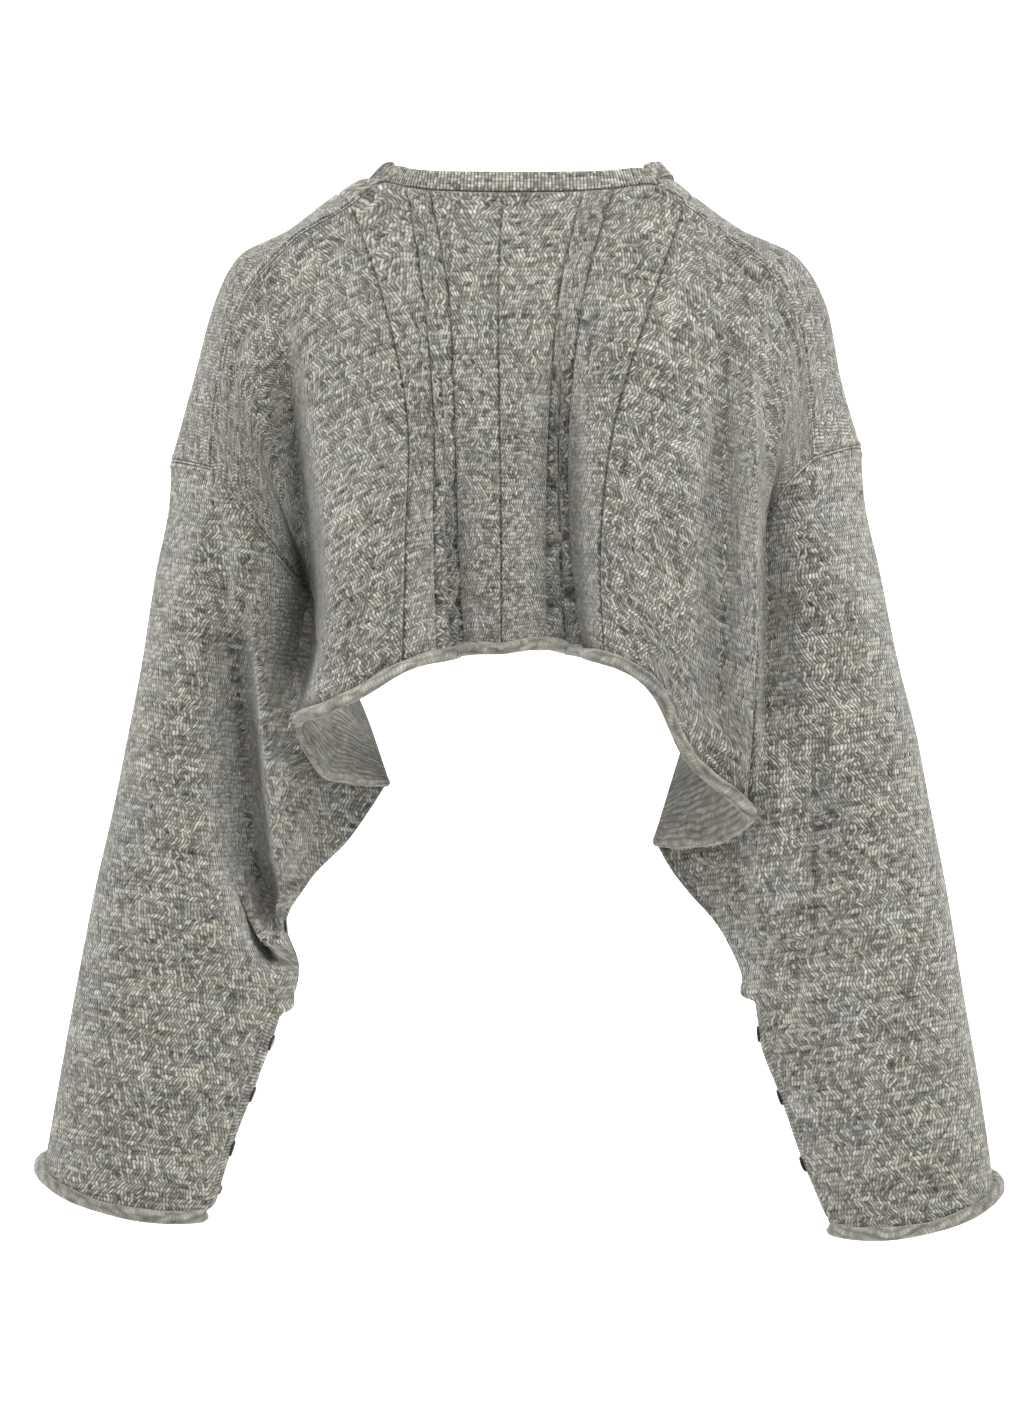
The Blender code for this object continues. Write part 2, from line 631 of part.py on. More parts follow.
def button(name, centre, normal):
    mesh = bmesh.new()
    bmesh.ops.create_cone(
        mesh, cap_ends=True, segments=12, radius1=BUTTON_RADIUS * MM,
        radius2=BUTTON_RADIUS * MM, depth=BUTTON_THICKNESS * MM,
    )
    rims = [edge for edge in mesh.edges if abs(edge.verts[0].co.z - edge.verts[1].co.z) < 1e-6]
    bmesh.ops.bevel(mesh, geom=rims, offset=BUTTON_EDGE * MM, segments=1, affect="EDGES")
    made = finish_object(name, mesh, plain_material(name, BUTTON_COLOUR, 0.3))
    made.rotation_mode = "QUATERNION"
    made.rotation_quaternion = Vector(normal).to_track_quat("Z", "Y")
    made.location = Vector(centre * MM)
    return made


def clear_scene():
    for made in list(bpy.data.objects):
        bpy.data.objects.remove(made)


def main():
    clear_scene()
    bpy.context.scene.collection.children.link(bpy.data.collections.new("pullover_sweater"))
    back_lines, (back, back_columns) = back_panel_grid()
    front_lines, (front, front_columns) = front_panel_grid(back_lines)
    back_normals = grid_normals(back, 1)
    front_normals = grid_normals(front, -1)

    armhole_left = np.concatenate([back[::-1, 0], front[1:, 0]])
    armhole_right = np.concatenate([back[::-1, -1], front[1:, -1]])
    over = BODY_ROWS + int(np.argmax(np.abs(front[:, 0, 0])))
    left = Sleeve("left", SLEEVE_LEFT, armhole_left, over)
    right = Sleeve("right", SLEEVE_RIGHT, armhole_right, over)
    left_grid, left_normals = left.grid()
    right_grid, right_normals = right.grid()

    back_necks = neck_columns(back_lines, back_columns)
    front_necks = neck_columns(front_lines, front_columns)
    for back_side, front_side in (
        (slice(0, back_necks[0] + 1), slice(0, front_necks[0] + 1)),
        (slice(back_necks[1], None), slice(front_necks[1], None)),
    ):
        back_normals[0, back_side], front_normals[0, front_side] = share_normals(
            back_normals[0, back_side], front_normals[0, front_side]
        )
    for column, normals in ((0, left_normals), (-1, right_normals)):
        lower = slice(None, BODY_ROWS + 1)
        upper = slice(BODY_ROWS, None)
        normals[0, lower], back_normals[::-1, column] = share_normals(
            normals[0, lower], back_normals[::-1, column]
        )
        normals[0, upper], front_normals[:, column] = share_normals(
            normals[0, upper], front_normals[:, column]
        )
        normals[0, BODY_ROWS] = unit(normals[0, BODY_ROWS] + back_normals[0, column])
        back_normals[0, column] = front_normals[0, column] = normals[0, BODY_ROWS]

    neck_loop, loop_normals = (
        np.concatenate([
            behind[0, back_necks[0]:back_necks[1]],
            ahead[0, front_necks[0]:front_necks[1] + 1][::-1][:-1],
        ])
        for behind, ahead in ((back, front), (back_normals, front_normals))
    )
    neckband(neck_loop, loop_normals)
    for name, lines, columns, grid, normals in (
        ("back_panel", back_lines, back_columns, back, back_normals),
        ("front_panel", front_lines, front_columns, front, front_normals),
    ):
        relief = panel_relief(lines, columns, grid)
        full = list(range(grid.shape[1]))
        choice = ([full, full], [full, every(full[-1], 2)])
        knitted_panel(name, grid, normals, relief, ROLL_FADE, BODY_INNER_STEP, choice, -1)
    for name, grid, normals in (
        ("sleeve_left", left_grid, left_normals),
        ("sleeve_right", right_grid, right_normals),
    ):
        relief = np.zeros(grid.shape[:2])
        full = list(range(grid.shape[1]))
        some = every(full[-1], SLEEVE_COLUMN_STEP)
        choice = ([full, some], [some, some])
        knitted_panel(name, grid, normals, relief, CUFF_ROLL_FADE, SLEEVE_INNER_STEP, choice, 0)
    some = every(left_grid.shape[1] - 1, SLEEVE_COLUMN_STEP)
    placket(left, left_grid, some)
    placket(right, right_grid, some)


main()
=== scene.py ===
import json
import math
from collections import namedtuple
from functools import partial

import bmesh
import bpy
import numpy as np
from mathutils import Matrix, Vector

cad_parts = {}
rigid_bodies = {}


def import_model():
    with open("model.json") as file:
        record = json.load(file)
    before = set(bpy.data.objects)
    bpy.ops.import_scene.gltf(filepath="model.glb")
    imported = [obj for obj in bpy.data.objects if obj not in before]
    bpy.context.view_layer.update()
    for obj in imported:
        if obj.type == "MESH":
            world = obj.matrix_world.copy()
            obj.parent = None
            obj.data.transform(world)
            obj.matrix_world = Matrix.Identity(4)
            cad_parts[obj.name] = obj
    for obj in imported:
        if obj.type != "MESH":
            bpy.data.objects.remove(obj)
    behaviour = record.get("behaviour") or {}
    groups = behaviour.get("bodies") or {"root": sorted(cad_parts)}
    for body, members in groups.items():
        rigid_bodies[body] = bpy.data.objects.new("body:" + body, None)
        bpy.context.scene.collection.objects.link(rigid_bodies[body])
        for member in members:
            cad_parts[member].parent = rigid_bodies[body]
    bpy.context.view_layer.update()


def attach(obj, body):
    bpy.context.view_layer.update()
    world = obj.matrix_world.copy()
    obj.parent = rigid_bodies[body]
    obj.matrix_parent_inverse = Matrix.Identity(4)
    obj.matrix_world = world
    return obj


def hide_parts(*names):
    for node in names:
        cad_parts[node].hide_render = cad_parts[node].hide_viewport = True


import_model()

# The studio: a white floor that curves up into the walls, soft boxes all round, two of them on the
# backdrop, and the camera behind the garment. A wearer's neck is 1.42 m above the floor.
FLOOR_LEVEL = -1.42
FLOOR_RADIUS = 5.0
FLOOR_CURVE = 2.5
WALL_HEIGHT = 6.0
SWEEP_SIDES = 96
SWEEP_STEPS = 12
FLOOR_COLOUR = (0.9, 0.9, 0.9, 1)
FLOOR_ROUGHNESS = 0.9
FLOOR_SHINE = 0.1
AIR_COLOUR = (1.0, 1.0, 1.0, 1)
AIR_STRENGTH = 0.07
CAMERA_DISTANCE = 3.2
PICTURE_WIDTH = 0.7168
SENSOR_WIDTH = 36.0
CAMERA_TURN = math.radians(6)
PICTURE_MIDDLE = Vector((0.00557, 0.00058, -0.3633))


def turned_surface(profile, sides):
    """Points and quads of a surface turned about the upright axis, from radii and heights."""
    verts = []
    faces = []
    for radius, height in profile:
        for side in range(sides):
            angle = 2 * math.pi * side / sides
            verts.append((radius * math.cos(angle), radius * math.sin(angle), height))
    for start in range(0, len(verts) - sides, sides):
        beyond = start + sides
        for side in range(sides):
            after = (side + 1) % sides
            faces.append((start + side, beyond + side, beyond + after, start + after))
    return verts, faces


def new_mesh(name, verts, faces):
    mesh = bpy.data.meshes.new(name)
    mesh.from_pydata(verts, [], faces)
    return mesh


def link_object(name, data):
    made = bpy.data.objects.new(name, data)
    bpy.context.scene.collection.objects.link(made)
    return made


def feed(node, inputs):
    """Sets a node's inputs, by name or number, to values or links them to other outputs."""
    for key, value in inputs.items():
        if isinstance(value, bpy.types.NodeSocket):
            node.id_data.links.new(value, node.inputs[key])
        else:
            node.inputs[key].default_value = value


def new_material(name):
    """A new material and its shader."""
    material = bpy.data.materials.new(name)
    material.use_nodes = True
    return material, material.node_tree.nodes["Principled BSDF"]


sweep_profile = [(0.0, FLOOR_LEVEL)]
for sweep_step in range(SWEEP_STEPS + 1):
    sweep_angle = math.pi / 2 * sweep_step / SWEEP_STEPS
    sweep_profile.append((
        FLOOR_RADIUS + FLOOR_CURVE * math.sin(sweep_angle),
        FLOOR_LEVEL + FLOOR_CURVE * (1 - math.cos(sweep_angle)),
    ))
sweep_profile.append((FLOOR_RADIUS + FLOOR_CURVE, FLOOR_LEVEL + WALL_HEIGHT))
sweep_mesh = new_mesh("studio_floor", *turned_surface(sweep_profile, SWEEP_SIDES))
sweep_mesh.shade_smooth()
studio_floor = link_object("studio_floor", sweep_mesh)
floor_paint, floor_shader = new_material("floor_paint")
feed(floor_shader, {
    "Base Color": FLOOR_COLOUR, "Roughness": FLOOR_ROUGHNESS, "Specular IOR Level": FLOOR_SHINE,
})
sweep_mesh.materials.append(floor_paint)

SoftBox = namedtuple("SoftBox", "name place aim size power")
GARMENT = (0.0, 0.0, -0.36)
SOFT_BOXES = (
    SoftBox("key_box", (-0.4, 2.3, 2.5), GARMENT, 1.3, 124.0),
    SoftBox("left_box", (3.0, 1.0, 0.5), GARMENT, 1.4, 32.0),
    SoftBox("right_box", (-3.0, 1.0, 0.3), GARMENT, 1.4, 36.0),
    SoftBox("front_box", (0.9, -3.0, 1.6), GARMENT, 2.0, 90.0),
    SoftBox("backdrop_left", (3.0, -2.6, 1.0), (2.0, -7.5, 0.3), 2.6, 350.0),
    SoftBox("backdrop_right", (-3.0, -2.6, 1.0), (-2.0, -7.5, 0.3), 2.6, 350.0),
)
for box in SOFT_BOXES:
    lamp = bpy.data.lights.new(box.name, "AREA")
    lamp.shape = "SQUARE"
    lamp.size = box.size
    lamp.energy = box.power
    lamp_object = link_object(box.name, lamp)
    lamp_object.location = box.place
    aim = Vector(box.aim) - Vector(box.place)
    lamp_object.rotation_euler = aim.to_track_quat("-Z", "Y").to_euler()

studio_air = bpy.data.worlds.new("studio_air")
studio_air.use_nodes = True
feed(studio_air.node_tree.nodes["Background"], {"Color": AIR_COLOUR, "Strength": AIR_STRENGTH})
bpy.context.scene.world = studio_air
bpy.context.scene.view_settings.view_transform = "Standard"

camera_data = bpy.data.cameras.new("camera")
camera_data.sensor_fit = "HORIZONTAL"
camera_data.sensor_width = SENSOR_WIDTH
camera_data.lens = SENSOR_WIDTH * CAMERA_DISTANCE / PICTURE_WIDTH
camera = link_object("camera", camera_data)
towards_camera = Vector((-math.sin(CAMERA_TURN), math.cos(CAMERA_TURN), 0))
camera.location = PICTURE_MIDDLE + towards_camera * CAMERA_DISTANCE
camera.rotation_euler = (-towards_camera).to_track_quat("-Z", "Y").to_euler()
bpy.context.scene.camera = camera

# Back panel: one piece of plain knit in marl wool, with single sunken wales, two slim cables and a
# raw lower edge that rolls outwards. It is linked to the front panel at the shoulders, with another
# slim cable beside each of those seams, and it falls into a few large soft folds.

# Places and sizes from here on are in mm, and this turns them into metres.
MM = 0.001
WALL = 2.2
Line = namedtuple("Line", "name top upper middle lower hem")
BACK_LEFT = [Line(*row) for row in (
    ("seam", (211, 44, -196), (174, 56, -241), (141, 38, -289), (115, 20, -350), (93, 2, -415)),
    ("arm", (208, 43, -148), (178, 60, -198), (151, 54, -254), (124, 40, -322), (114, 26, -411)),
    ("valley", (199, 40, -100), (179, 62, -157), (159, 66, -219), (136, 60, -296), (131, 48, -404)),
    ("ridge", (181, 34, -62), (156, 68, -130), (135, 84, -200), (122, 92, -279), (142, 74, -369)),
    ("flank", (168, 32, -48), (141, 72, -118), (121, 91, -190), (109, 101, -270), (120, 92, -361)),
    ("mid", (154, 30, -34), (124, 74, -106), (105, 96, -180), (94, 107, -262), (97, 104, -351)),
    ("groove", (115, 34, -12), (83, 88, -91), (66, 106, -167), (66, 110, -249), (68, 110, -334)),
    ("neck", (95, 28, 4), (67, 92, -88), (56, 106, -166), (56, 105, -245), (55, 103, -329)),
    ("cable_out", (75, 46, -1), (56, 95, -86), (48, 105, -165), (48, 100, -243), (46, 96, -327)),
    ("cable_in", (58, 53, -4), (39, 96, -86), (34, 107, -164), (33, 102, -242), (29, 98, -323)),
    ("centre", (6, 60, -7), (5, 97, -86), (3, 108, -164), (2, 107, -242), (2, 103, -322)),
)]
BACK_RIGHT = [Line(*row) for row in (
    ("seam", (-208, 44, -191), (-184, 54, -218), (-160, 40, -261), (-129, 16, -350), (-95, 2, -456)),
    ("arm", (-204, 42, -146), (-188, 60, -188), (-171, 56, -238), (-146, 40, -320), (-120, 26, -455)),
    ("valley", (-197, 40, -100), (-189, 62, -159), (-179, 66, -214), (-164, 62, -289), (-144, 48, -450)),
    ("ridge", (-178, 34, -61), (-169, 68, -132), (-167, 84, -208), (-168, 92, -303), (-162, 74, -431)),
    ("flank", (-163, 31, -48), (-151, 72, -119), (-140, 94, -195), (-134, 103, -286), (-125, 92, -396)),
    ("mid", (-148, 30, -38), (-133, 76, -105), (-112, 100, -182), (-99, 109, -263), (-102, 106, -349)),
    ("groove", (-118, 34, -14), (-98, 88, -89), (-76, 106, -165), (-66, 111, -243), (-68, 110, -328)),
    ("neck", (-98, 28, 0), (-76, 92, -88), (-58, 106, -165), (-54, 106, -242), (-59, 103, -326)),
    ("cable_out", (-70, 47, -4), (-52, 94, -86), (-44, 104, -164), (-44, 98, -242), (-52, 92, -323)),
    ("cable_in", (-50, 54, -6), (-36, 96, -86), (-32, 107, -165), (-29, 101, -242), (-29, 94, -319)),
)]
ROW_STEP = 2.2
FINE_STEP = 0.85
COARSE_STEP = 2.7
FINE_REACH = 3.2
EDGE_REACH = 5.0
CABLE_HEIGHT = 3.0
CABLE_DIP = 1.3
CABLE_PITCH = 41.0
CABLE_SWING = 1.7
STRAND_OFFSET = 0.25
STRAND_HALF = 0.27
STRAND_ROUND = 0.8
GROOVE_DEPTH = 1.9
GROOVE_HALF = 1.0
SHOULDER_CABLE_IN = 6.0
SHOULDER_CABLE_WIDTH = 12.0
SEAM_SINK = 1.8
SEAM_HALF = 1.3
SEAM_RIDGE = 0.9
SEAM_RIDGE_IN = 3.6
RELIEF_TOP_FADE = 9.0
RELIEF_HEM_FADE = 5.0
ROLL_RADIUS = 2.4
ROLL_TURN = math.radians(285)
ROLL_STEPS = 16
ROLL_LEAST = 0.3
ROLL_WAVES = ((0.10, 19.0, 0.0), (0.07, 7.7, 1.3))
ROLL_TURN_WAVE = 0.8
HEM_FADE = 24.0

# A crease runs through places in the picture plane, in mm to the wearer's left of the picture's
# middle and above it. Its height is towards the camera, and its two half widths are those to the
# wearer's left and right of that line.
Crease = namedtuple("Crease", "height left right path")
CREASES = (
    Crease(-40, 32, 8, (
        (160, 300), (156, 245), (154, 215), (150, 170), (145, 117), (143, 74), (146, 45), (153, 9),
        (160, -12),
    )),
    Crease(24, 4, 46, (
        (147, 214), (143, 174), (133, 145), (130, 117), (128, 74), (132, 45), (139, 18), (150, -16),
    )),
    Crease(-20, 15, 12, ((152, 130), (153, 80), (155, 40), (158, 0), (163, -40))),
    Crease(-32, 9, 6, (
        (159, 305), (158, 275), (157, 215), (153, 170), (148, 125), (144, 80), (146, 40), (152, 5),
    )),
    Crease(-24, 12, 7, (
        (199, 80), (197, 40), (193, 0), (190, -40), (188, -75), (183, -110), (174, -145), (160, -185),
    )),
    Crease(-15, 4, 13, ((-173, 268), (-177, 188), (-179, 104), (-179, 30), (-176, 0), (-176, -40))),
    Crease(18, 5, 6, (
        (-163, 310), (-163, 275), (-167, 234), (-170, 188), (-170, 104), (-170, 20), (-168, -30),
        (-162, -74),
    )),
    Crease(-34, 17, 7, ((-148, 290), (-151, 170), (-151, 104), (-150, 40), (-146, -30))),
    Crease(-50, 16, 13, ((-31, 285), (-33, 170), (-36, 110), (-39, 50), (-41, 0))),
    Crease(-10, 9, 16, ((-28, 130), (-34, 70), (-38, 10))),
    Crease(-24, 10, 8, ((42, 190), (40, 118), (38, 80), (36, -5))),
    Crease(-1.8, 3, 3, ((-172, 271), (-150, 252), (-125, 227))),
    Crease(-1.7, 1.1, 1.1, ((-97, 160), (-92, 137), (-85, 104), (-80, 80), (-75, 45))),
    Crease(-40, 24, 7, (
        (196, 96), (191, 40), (186, -10), (180, -60), (175, -105), (166, -145), (152, -190),
    )),
    Crease(17, 4, 34, ((184, 100), (180, 50), (174, -22), (168, -99), (150, -176))),
    Crease(5, 5, 5, ((194, 140), (193, 90), (196, 40))),
    Crease(-11, 5, 22, ((-208, 34), (-212, -40), (-213, -110), (-212, -200))),
    Crease(7, 8, 8, ((-188, 34), (-188, -40), (-188, -110), (-188, -190))),
)
CREASE_SIDE_BLEND = 1.5
CREASE_EDGE = 9.0
TOP_FADE = 0.5
LOW_FADE = 0.13
FRONT_SHARE = 0.4

# The marl knit, with a wale and a course in metres. The strays of its loops are in wales or courses,
# and a tone of 0 is dark yarn and of 1 light. Each piece starts elsewhere in the pattern, in mm.
WALE_WIDTH = 0.00245
COURSE_HEIGHT = 0.0033
PIECE_OFFSET = 700.0
COURSE_DRIFT = 1.6
DRIFT_SCALE = 60.0
WALE_SWAY = 1.8
SWAY_SCALE = 50.0
WALE_SHIFT = 0.37
LEG_LEAN = 1.05
LEAN_CONTRAST = 7.0
LEAN_SCALES = (70.0, 1.37)
PLAIN_ROUND = (1.2, 0.3)
PURL_ROUND = (0.8, 0.4)
PURL_RISE = 0.6
PURL_BASE = 0.2
MIDDLE_TONE = 0.52
LEG_TONE = 0.55
PURL_LEG_TONE = 0.15
STREAK_TONE = 0.9
STREAK_SCALES = (110.0, 330.0)
CLOUD_TONE = 0.5
CLOUD_SCALES = (11.0, 75.0)
TINT_SCALES = (60.0, 22.0)
# Painted shade: the colour is darker in the gaps between loops and darker still in the dips.
LOOP_SHADE = 0.95
GAP_SHADE = 0.36
SUNK_SHADE = 0.74
HAIR_HEIGHT = 0.3
HAIR_SCALE = 2600.0
KNIT_BUMP = 0.0009
BUMP_STRENGTH = 0.9
WOOL_ROUGHNESS = 0.95
WOOL_SHINE = 0.12
WOOL_SHEEN = 0.6
SHEEN_ROUGHNESS = 0.45
LIGHT_YARN = (0.55, 0.53, 0.475, 1)
MIDDLE_YARN = (0.24, 0.232, 0.21, 1)
DARK_YARN = (0.035, 0.035, 0.034, 1)
WARM_TINT = (1.03, 1.0, 0.93, 1)
COOL_TINT = (0.975, 1.0, 0.995, 1)
SHEEN_TINT = (0.86, 0.86, 0.82, 1)


def unit(vectors):
    return vectors / np.maximum(np.linalg.norm(vectors, axis=-1, keepdims=True), 1e-9)


def smooth_through(knots, points, places):
    """Smooth curve through points, read at the given places between the knots."""
    knots = np.asarray(knots, float)
    points = np.asarray(points, float)
    spans = np.diff(knots)
    shape = (-1,) + (1,) * (points.ndim - 1)
    rise = np.diff(points, axis=0) / spans.reshape(shape)
    before = spans[:-1].reshape(shape)
    after = spans[1:].reshape(shape)
    inner = (before * rise[1:] + after * rise[:-1]) / (before + after)
    first = 1.5 * rise[:1] - 0.5 * inner[:1]
    last = 1.5 * rise[-1:] - 0.5 * inner[-1:]
    slopes = np.concatenate([first, inner, last])
    index = np.clip(np.searchsorted(knots, places, side="right") - 1, 0, len(spans) - 1)
    width = spans[index].reshape(shape)
    t = ((places - knots[index]) / spans[index]).reshape(shape)
    return (
        (2 * t**3 - 3 * t**2 + 1) * points[index]
        + (t**3 - 2 * t**2 + t) * width * slopes[index]
        + (3 * t**2 - 2 * t**3) * points[index + 1]
        + (t**3 - t**2) * width * slopes[index + 1]
    )


def smoothstep(low, high, value):
    t = np.clip((value - low) / (high - low), 0.0, 1.0)
    return t * t * (3 - 2 * t)


def mean_knots(points, axis):
    steps = np.linalg.norm(np.diff(points, axis=axis), axis=-1)
    return np.concatenate([[0.0], np.cumsum(steps.mean(axis=1 - axis))])


def distances(grid, axis):
    """Length of cloth from the first row or column to each point."""
    steps = np.linalg.norm(np.diff(grid, axis=axis), axis=-1)
    start = np.zeros_like(np.take(steps, [0], axis=axis))
    return np.concatenate([start, np.cumsum(steps, axis=axis)], axis=axis)


def uneven_places(total, spots, reach, fine, coarse):
    """Places from 0 to total, close together near the spots; their number of steps is even."""
    run = np.linspace(0, total, 4001)
    near = np.abs(run[:, None] - np.asarray(spots, float)).min(axis=1)
    density = 1 / coarse + (1 / fine - 1 / coarse) * (1 - smoothstep(reach, 2 * reach, near))
    count = np.concatenate([[0.0], np.cumsum((density[1:] + density[:-1]) / 2 * total / 4000)])
    steps = 2 * round(count[-1] / 2)
    return np.interp(np.linspace(0, count[-1], steps + 1), count, run)


def knitted_grid(names, stations):
    """Points of a panel from its lines, and each column's place in line numbers."""
    stations = np.array(stations, float)
    down = mean_knots(stations, 1)
    across = mean_knots(stations, 0)
    spots = [0.0, across[-1]]
    for number, name in enumerate(names):
        if name in ("groove", "centre"):
            spots.append(across[number])
        if name.startswith("cable") and names[number + 1].startswith("cable"):
            spots += list(np.linspace(across[number], across[number + 1], 4))
    rows = uneven_places(down[-1], [0.0, down[-1]], EDGE_REACH, FINE_STEP, ROW_STEP)
    columns = uneven_places(across[-1], spots, FINE_REACH, FINE_STEP, COARSE_STEP)
    lengthwise = smooth_through(down, np.swapaxes(stations, 0, 1), rows)
    grid = smooth_through(across, np.swapaxes(lengthwise, 0, 1), columns)
    return np.swapaxes(grid, 0, 1), np.interp(columns, across, np.arange(len(across)))


def grid_normals(grid, outward):
    return unit(np.cross(np.gradient(grid, axis=0), np.gradient(grid, axis=1))) * outward


def crease_height(across, up, crease):
    """Height of one crease at places in the picture plane."""
    path = np.array(crease.path, float)
    place = np.stack([across, up], -1)
    nearest = np.full(across.shape, 1e9)
    sideways = np.zeros(across.shape)
    share = np.zeros(across.shape)
    lengths = np.linalg.norm(np.diff(path, axis=0), axis=1)
    before = np.concatenate([[0.0], np.cumsum(lengths)])
    for number, (start, end) in enumerate(zip(path, path[1:])):
        t = np.clip((place - start) @ (end - start) / lengths[number] ** 2, 0, 1)
        gap = place - (start + t[..., None] * (end - start))
        distance = np.linalg.norm(gap, axis=-1)
        closer = distance < nearest
        nearest = np.where(closer, distance, nearest)
        sideways = np.where(closer, gap[..., 0], sideways)
        share = np.where(closer, (before[number] + t * lengths[number]) / before[-1], share)
    to_left = smoothstep(-CREASE_SIDE_BLEND, CREASE_SIDE_BLEND, sideways)
    half = crease.right + (crease.left - crease.right) * to_left
    ends = smoothstep(0, TOP_FADE, share) * smoothstep(0, LOW_FADE, 1 - share)
    return crease.height * np.exp(-((nearest / half) ** 2)) * ends


def creased(grid):
    """The same points moved to or from the camera by the creases, and by fainter ones in front."""
    sideways = grid[..., 0] * math.cos(CAMERA_TURN) + grid[..., 1] * math.sin(CAMERA_TURN)
    depth = grid[..., 1] * math.cos(CAMERA_TURN) - grid[..., 0] * math.sin(CAMERA_TURN)
    scale = 1 - depth * MM / CAMERA_DISTANCE
    across = (sideways - PICTURE_MIDDLE.x / MM) / scale
    up = (grid[..., 2] - PICTURE_MIDDLE.z / MM) / scale
    behind = sum(crease_height(across, up, crease) for crease in CREASES)
    ahead = sum(crease_height(-across, up, crease) for crease in CREASES) * FRONT_SHARE
    move = behind * smoothstep(0, CREASE_EDGE, depth) - ahead * smoothstep(0, CREASE_EDGE, -depth)
    return grid + move[..., None] * np.array(towards_camera)


def cable_profile(fraction, distance):
    """Two strands that cross at each pitch, at a fraction of the cable's width."""
    swing = np.clip(CABLE_SWING * np.cos(math.pi * distance / CABLE_PITCH), -1, 1)
    height = np.zeros_like(swing)
    for sign in (-1, 1):
        middle = 0.5 + sign * STRAND_OFFSET * swing
        height = np.maximum(height, 1 - ((fraction - middle) / STRAND_HALF) ** 2)
    height = np.maximum(height, 0)
    return CABLE_HEIGHT * height**STRAND_ROUND - CABLE_DIP * (1 - height) ** 2


def seam_line(distance):
    """A linked edge: a dip in the seam and a soft ridge beside it."""
    dip = SEAM_SINK * np.exp(-((distance / SEAM_HALF) ** 2))
    return SEAM_RIDGE * np.exp(-(((distance - SEAM_RIDGE_IN) / SEAM_HALF) ** 2)) - dip


def seam_relief(down, across):
    """The linked edges at the top and at both sides of a piece."""
    return seam_line(down) + seam_line(across) + seam_line(across[:, -1:] - across)


def panel_relief(names, places, grid, beside_seam):
    """Cables, sunken wales and the dip along each linked edge."""
    down = distances(grid, 0)
    across = distances(grid, 1)
    relief = np.zeros(grid.shape[:2])
    for number, name in enumerate(names):
        at = np.array([np.interp(number, places, row) for row in across])[:, None]
        if name in ("groove", "centre", "cable_out", "cable_in"):
            relief -= GROOVE_DEPTH * np.exp(-(((across - at) / GROOVE_HALF) ** 2))
        if name.startswith("cable") and names[number + 1].startswith("cable"):
            inside = (places > number) & (places < number + 1)
            relief[:, inside] += cable_profile(places[inside] - number, down[:, inside])
    relief *= smoothstep(0, RELIEF_TOP_FADE, down) * smoothstep(0, RELIEF_HEM_FADE, down[-1] - down)
    if beside_seam:
        arm = names.index("arm")
        mid = names.index("mid")
        shoulders = 0
        for count in (places, len(names) - 1 - places):
            shoulders += smoothstep(arm, arm + 1, count) * (1 - smoothstep(mid - 0.5, mid + 0.5, count))
        beside = (down - SHOULDER_CABLE_IN) / SHOULDER_CABLE_WIDTH
        cable = np.where((beside > 0) & (beside < 1), cable_profile(beside, across), 0)
        relief += cable * shoulders
    return relief + seam_relief(down, across)


def roll_rows(grid, normals, fade):
    """Rows that curl outwards past a raw edge, unevenly, and their normals."""
    edge = unit(np.gradient(grid[-1], axis=0))
    down = grid[-1] - grid[-2]
    down = unit(down - edge * (down * edge).sum(axis=-1, keepdims=True))
    out = unit(normals[-1] - down * (normals[-1] * down).sum(axis=-1, keepdims=True))
    distance = distances(grid[-1:], 1)[0]
    size = smoothstep(0, fade, distance) * smoothstep(0, fade, distance[-1] - distance)
    size = ROLL_LEAST + (1 - ROLL_LEAST) * size
    uneven = sum(share * np.sin(distance / length + start) for share, length, start in ROLL_WAVES)
    radius = (ROLL_RADIUS * size * (1 + uneven))[:, None]
    turn = (ROLL_TURN * size * (1 + ROLL_TURN_WAVE * uneven))[:, None]
    rows = []
    row_normals = []
    for step in range(1, ROLL_STEPS + 1):
        angle = turn * step / ROLL_STEPS
        rows.append(grid[-1] + radius * (down * np.sin(angle) + out * (1 - np.cos(angle))))
        row_normals.append(out * np.cos(angle) - down * np.sin(angle))
    return np.array(rows), np.array(row_normals)


def rolled_wall(grid, normals, relief, fade):
    """Outer and inner points of a wall that ends in a roll, and its surface without relief."""
    rolled, rolled_normals = roll_rows(grid, normals, fade)
    whole = np.concatenate([grid, rolled])
    outer = np.concatenate([grid + normals * relief[..., None], rolled])
    inner = whole - np.concatenate([normals, rolled_normals]) * WALL
    return outer, inner, whole


def quads_of(number):
    corners = [number[:-1, :-1], number[1:, :-1], number[1:, 1:], number[:-1, 1:]]
    return np.stack(corners, -1).reshape(-1, 4)


def border_of(number):
    return np.concatenate([number[0, :-1], number[:-1, -1], number[-1, :0:-1], number[:0:-1, 0]])


def mark_cloth(mesh, uv, corner_points, **attributes):
    """The knit UV map, from each point's place in metres, and attributes of the points."""
    layer = mesh.uv_layers.new(name="knit")
    layer.data.foreach_set("uv", uv[corner_points].astype(np.float32).ravel())
    for name, values in attributes.items():
        stored = mesh.attributes.new(name, "FLOAT", "POINT")
        stored.data.foreach_set("value", values.astype(np.float32).ravel())


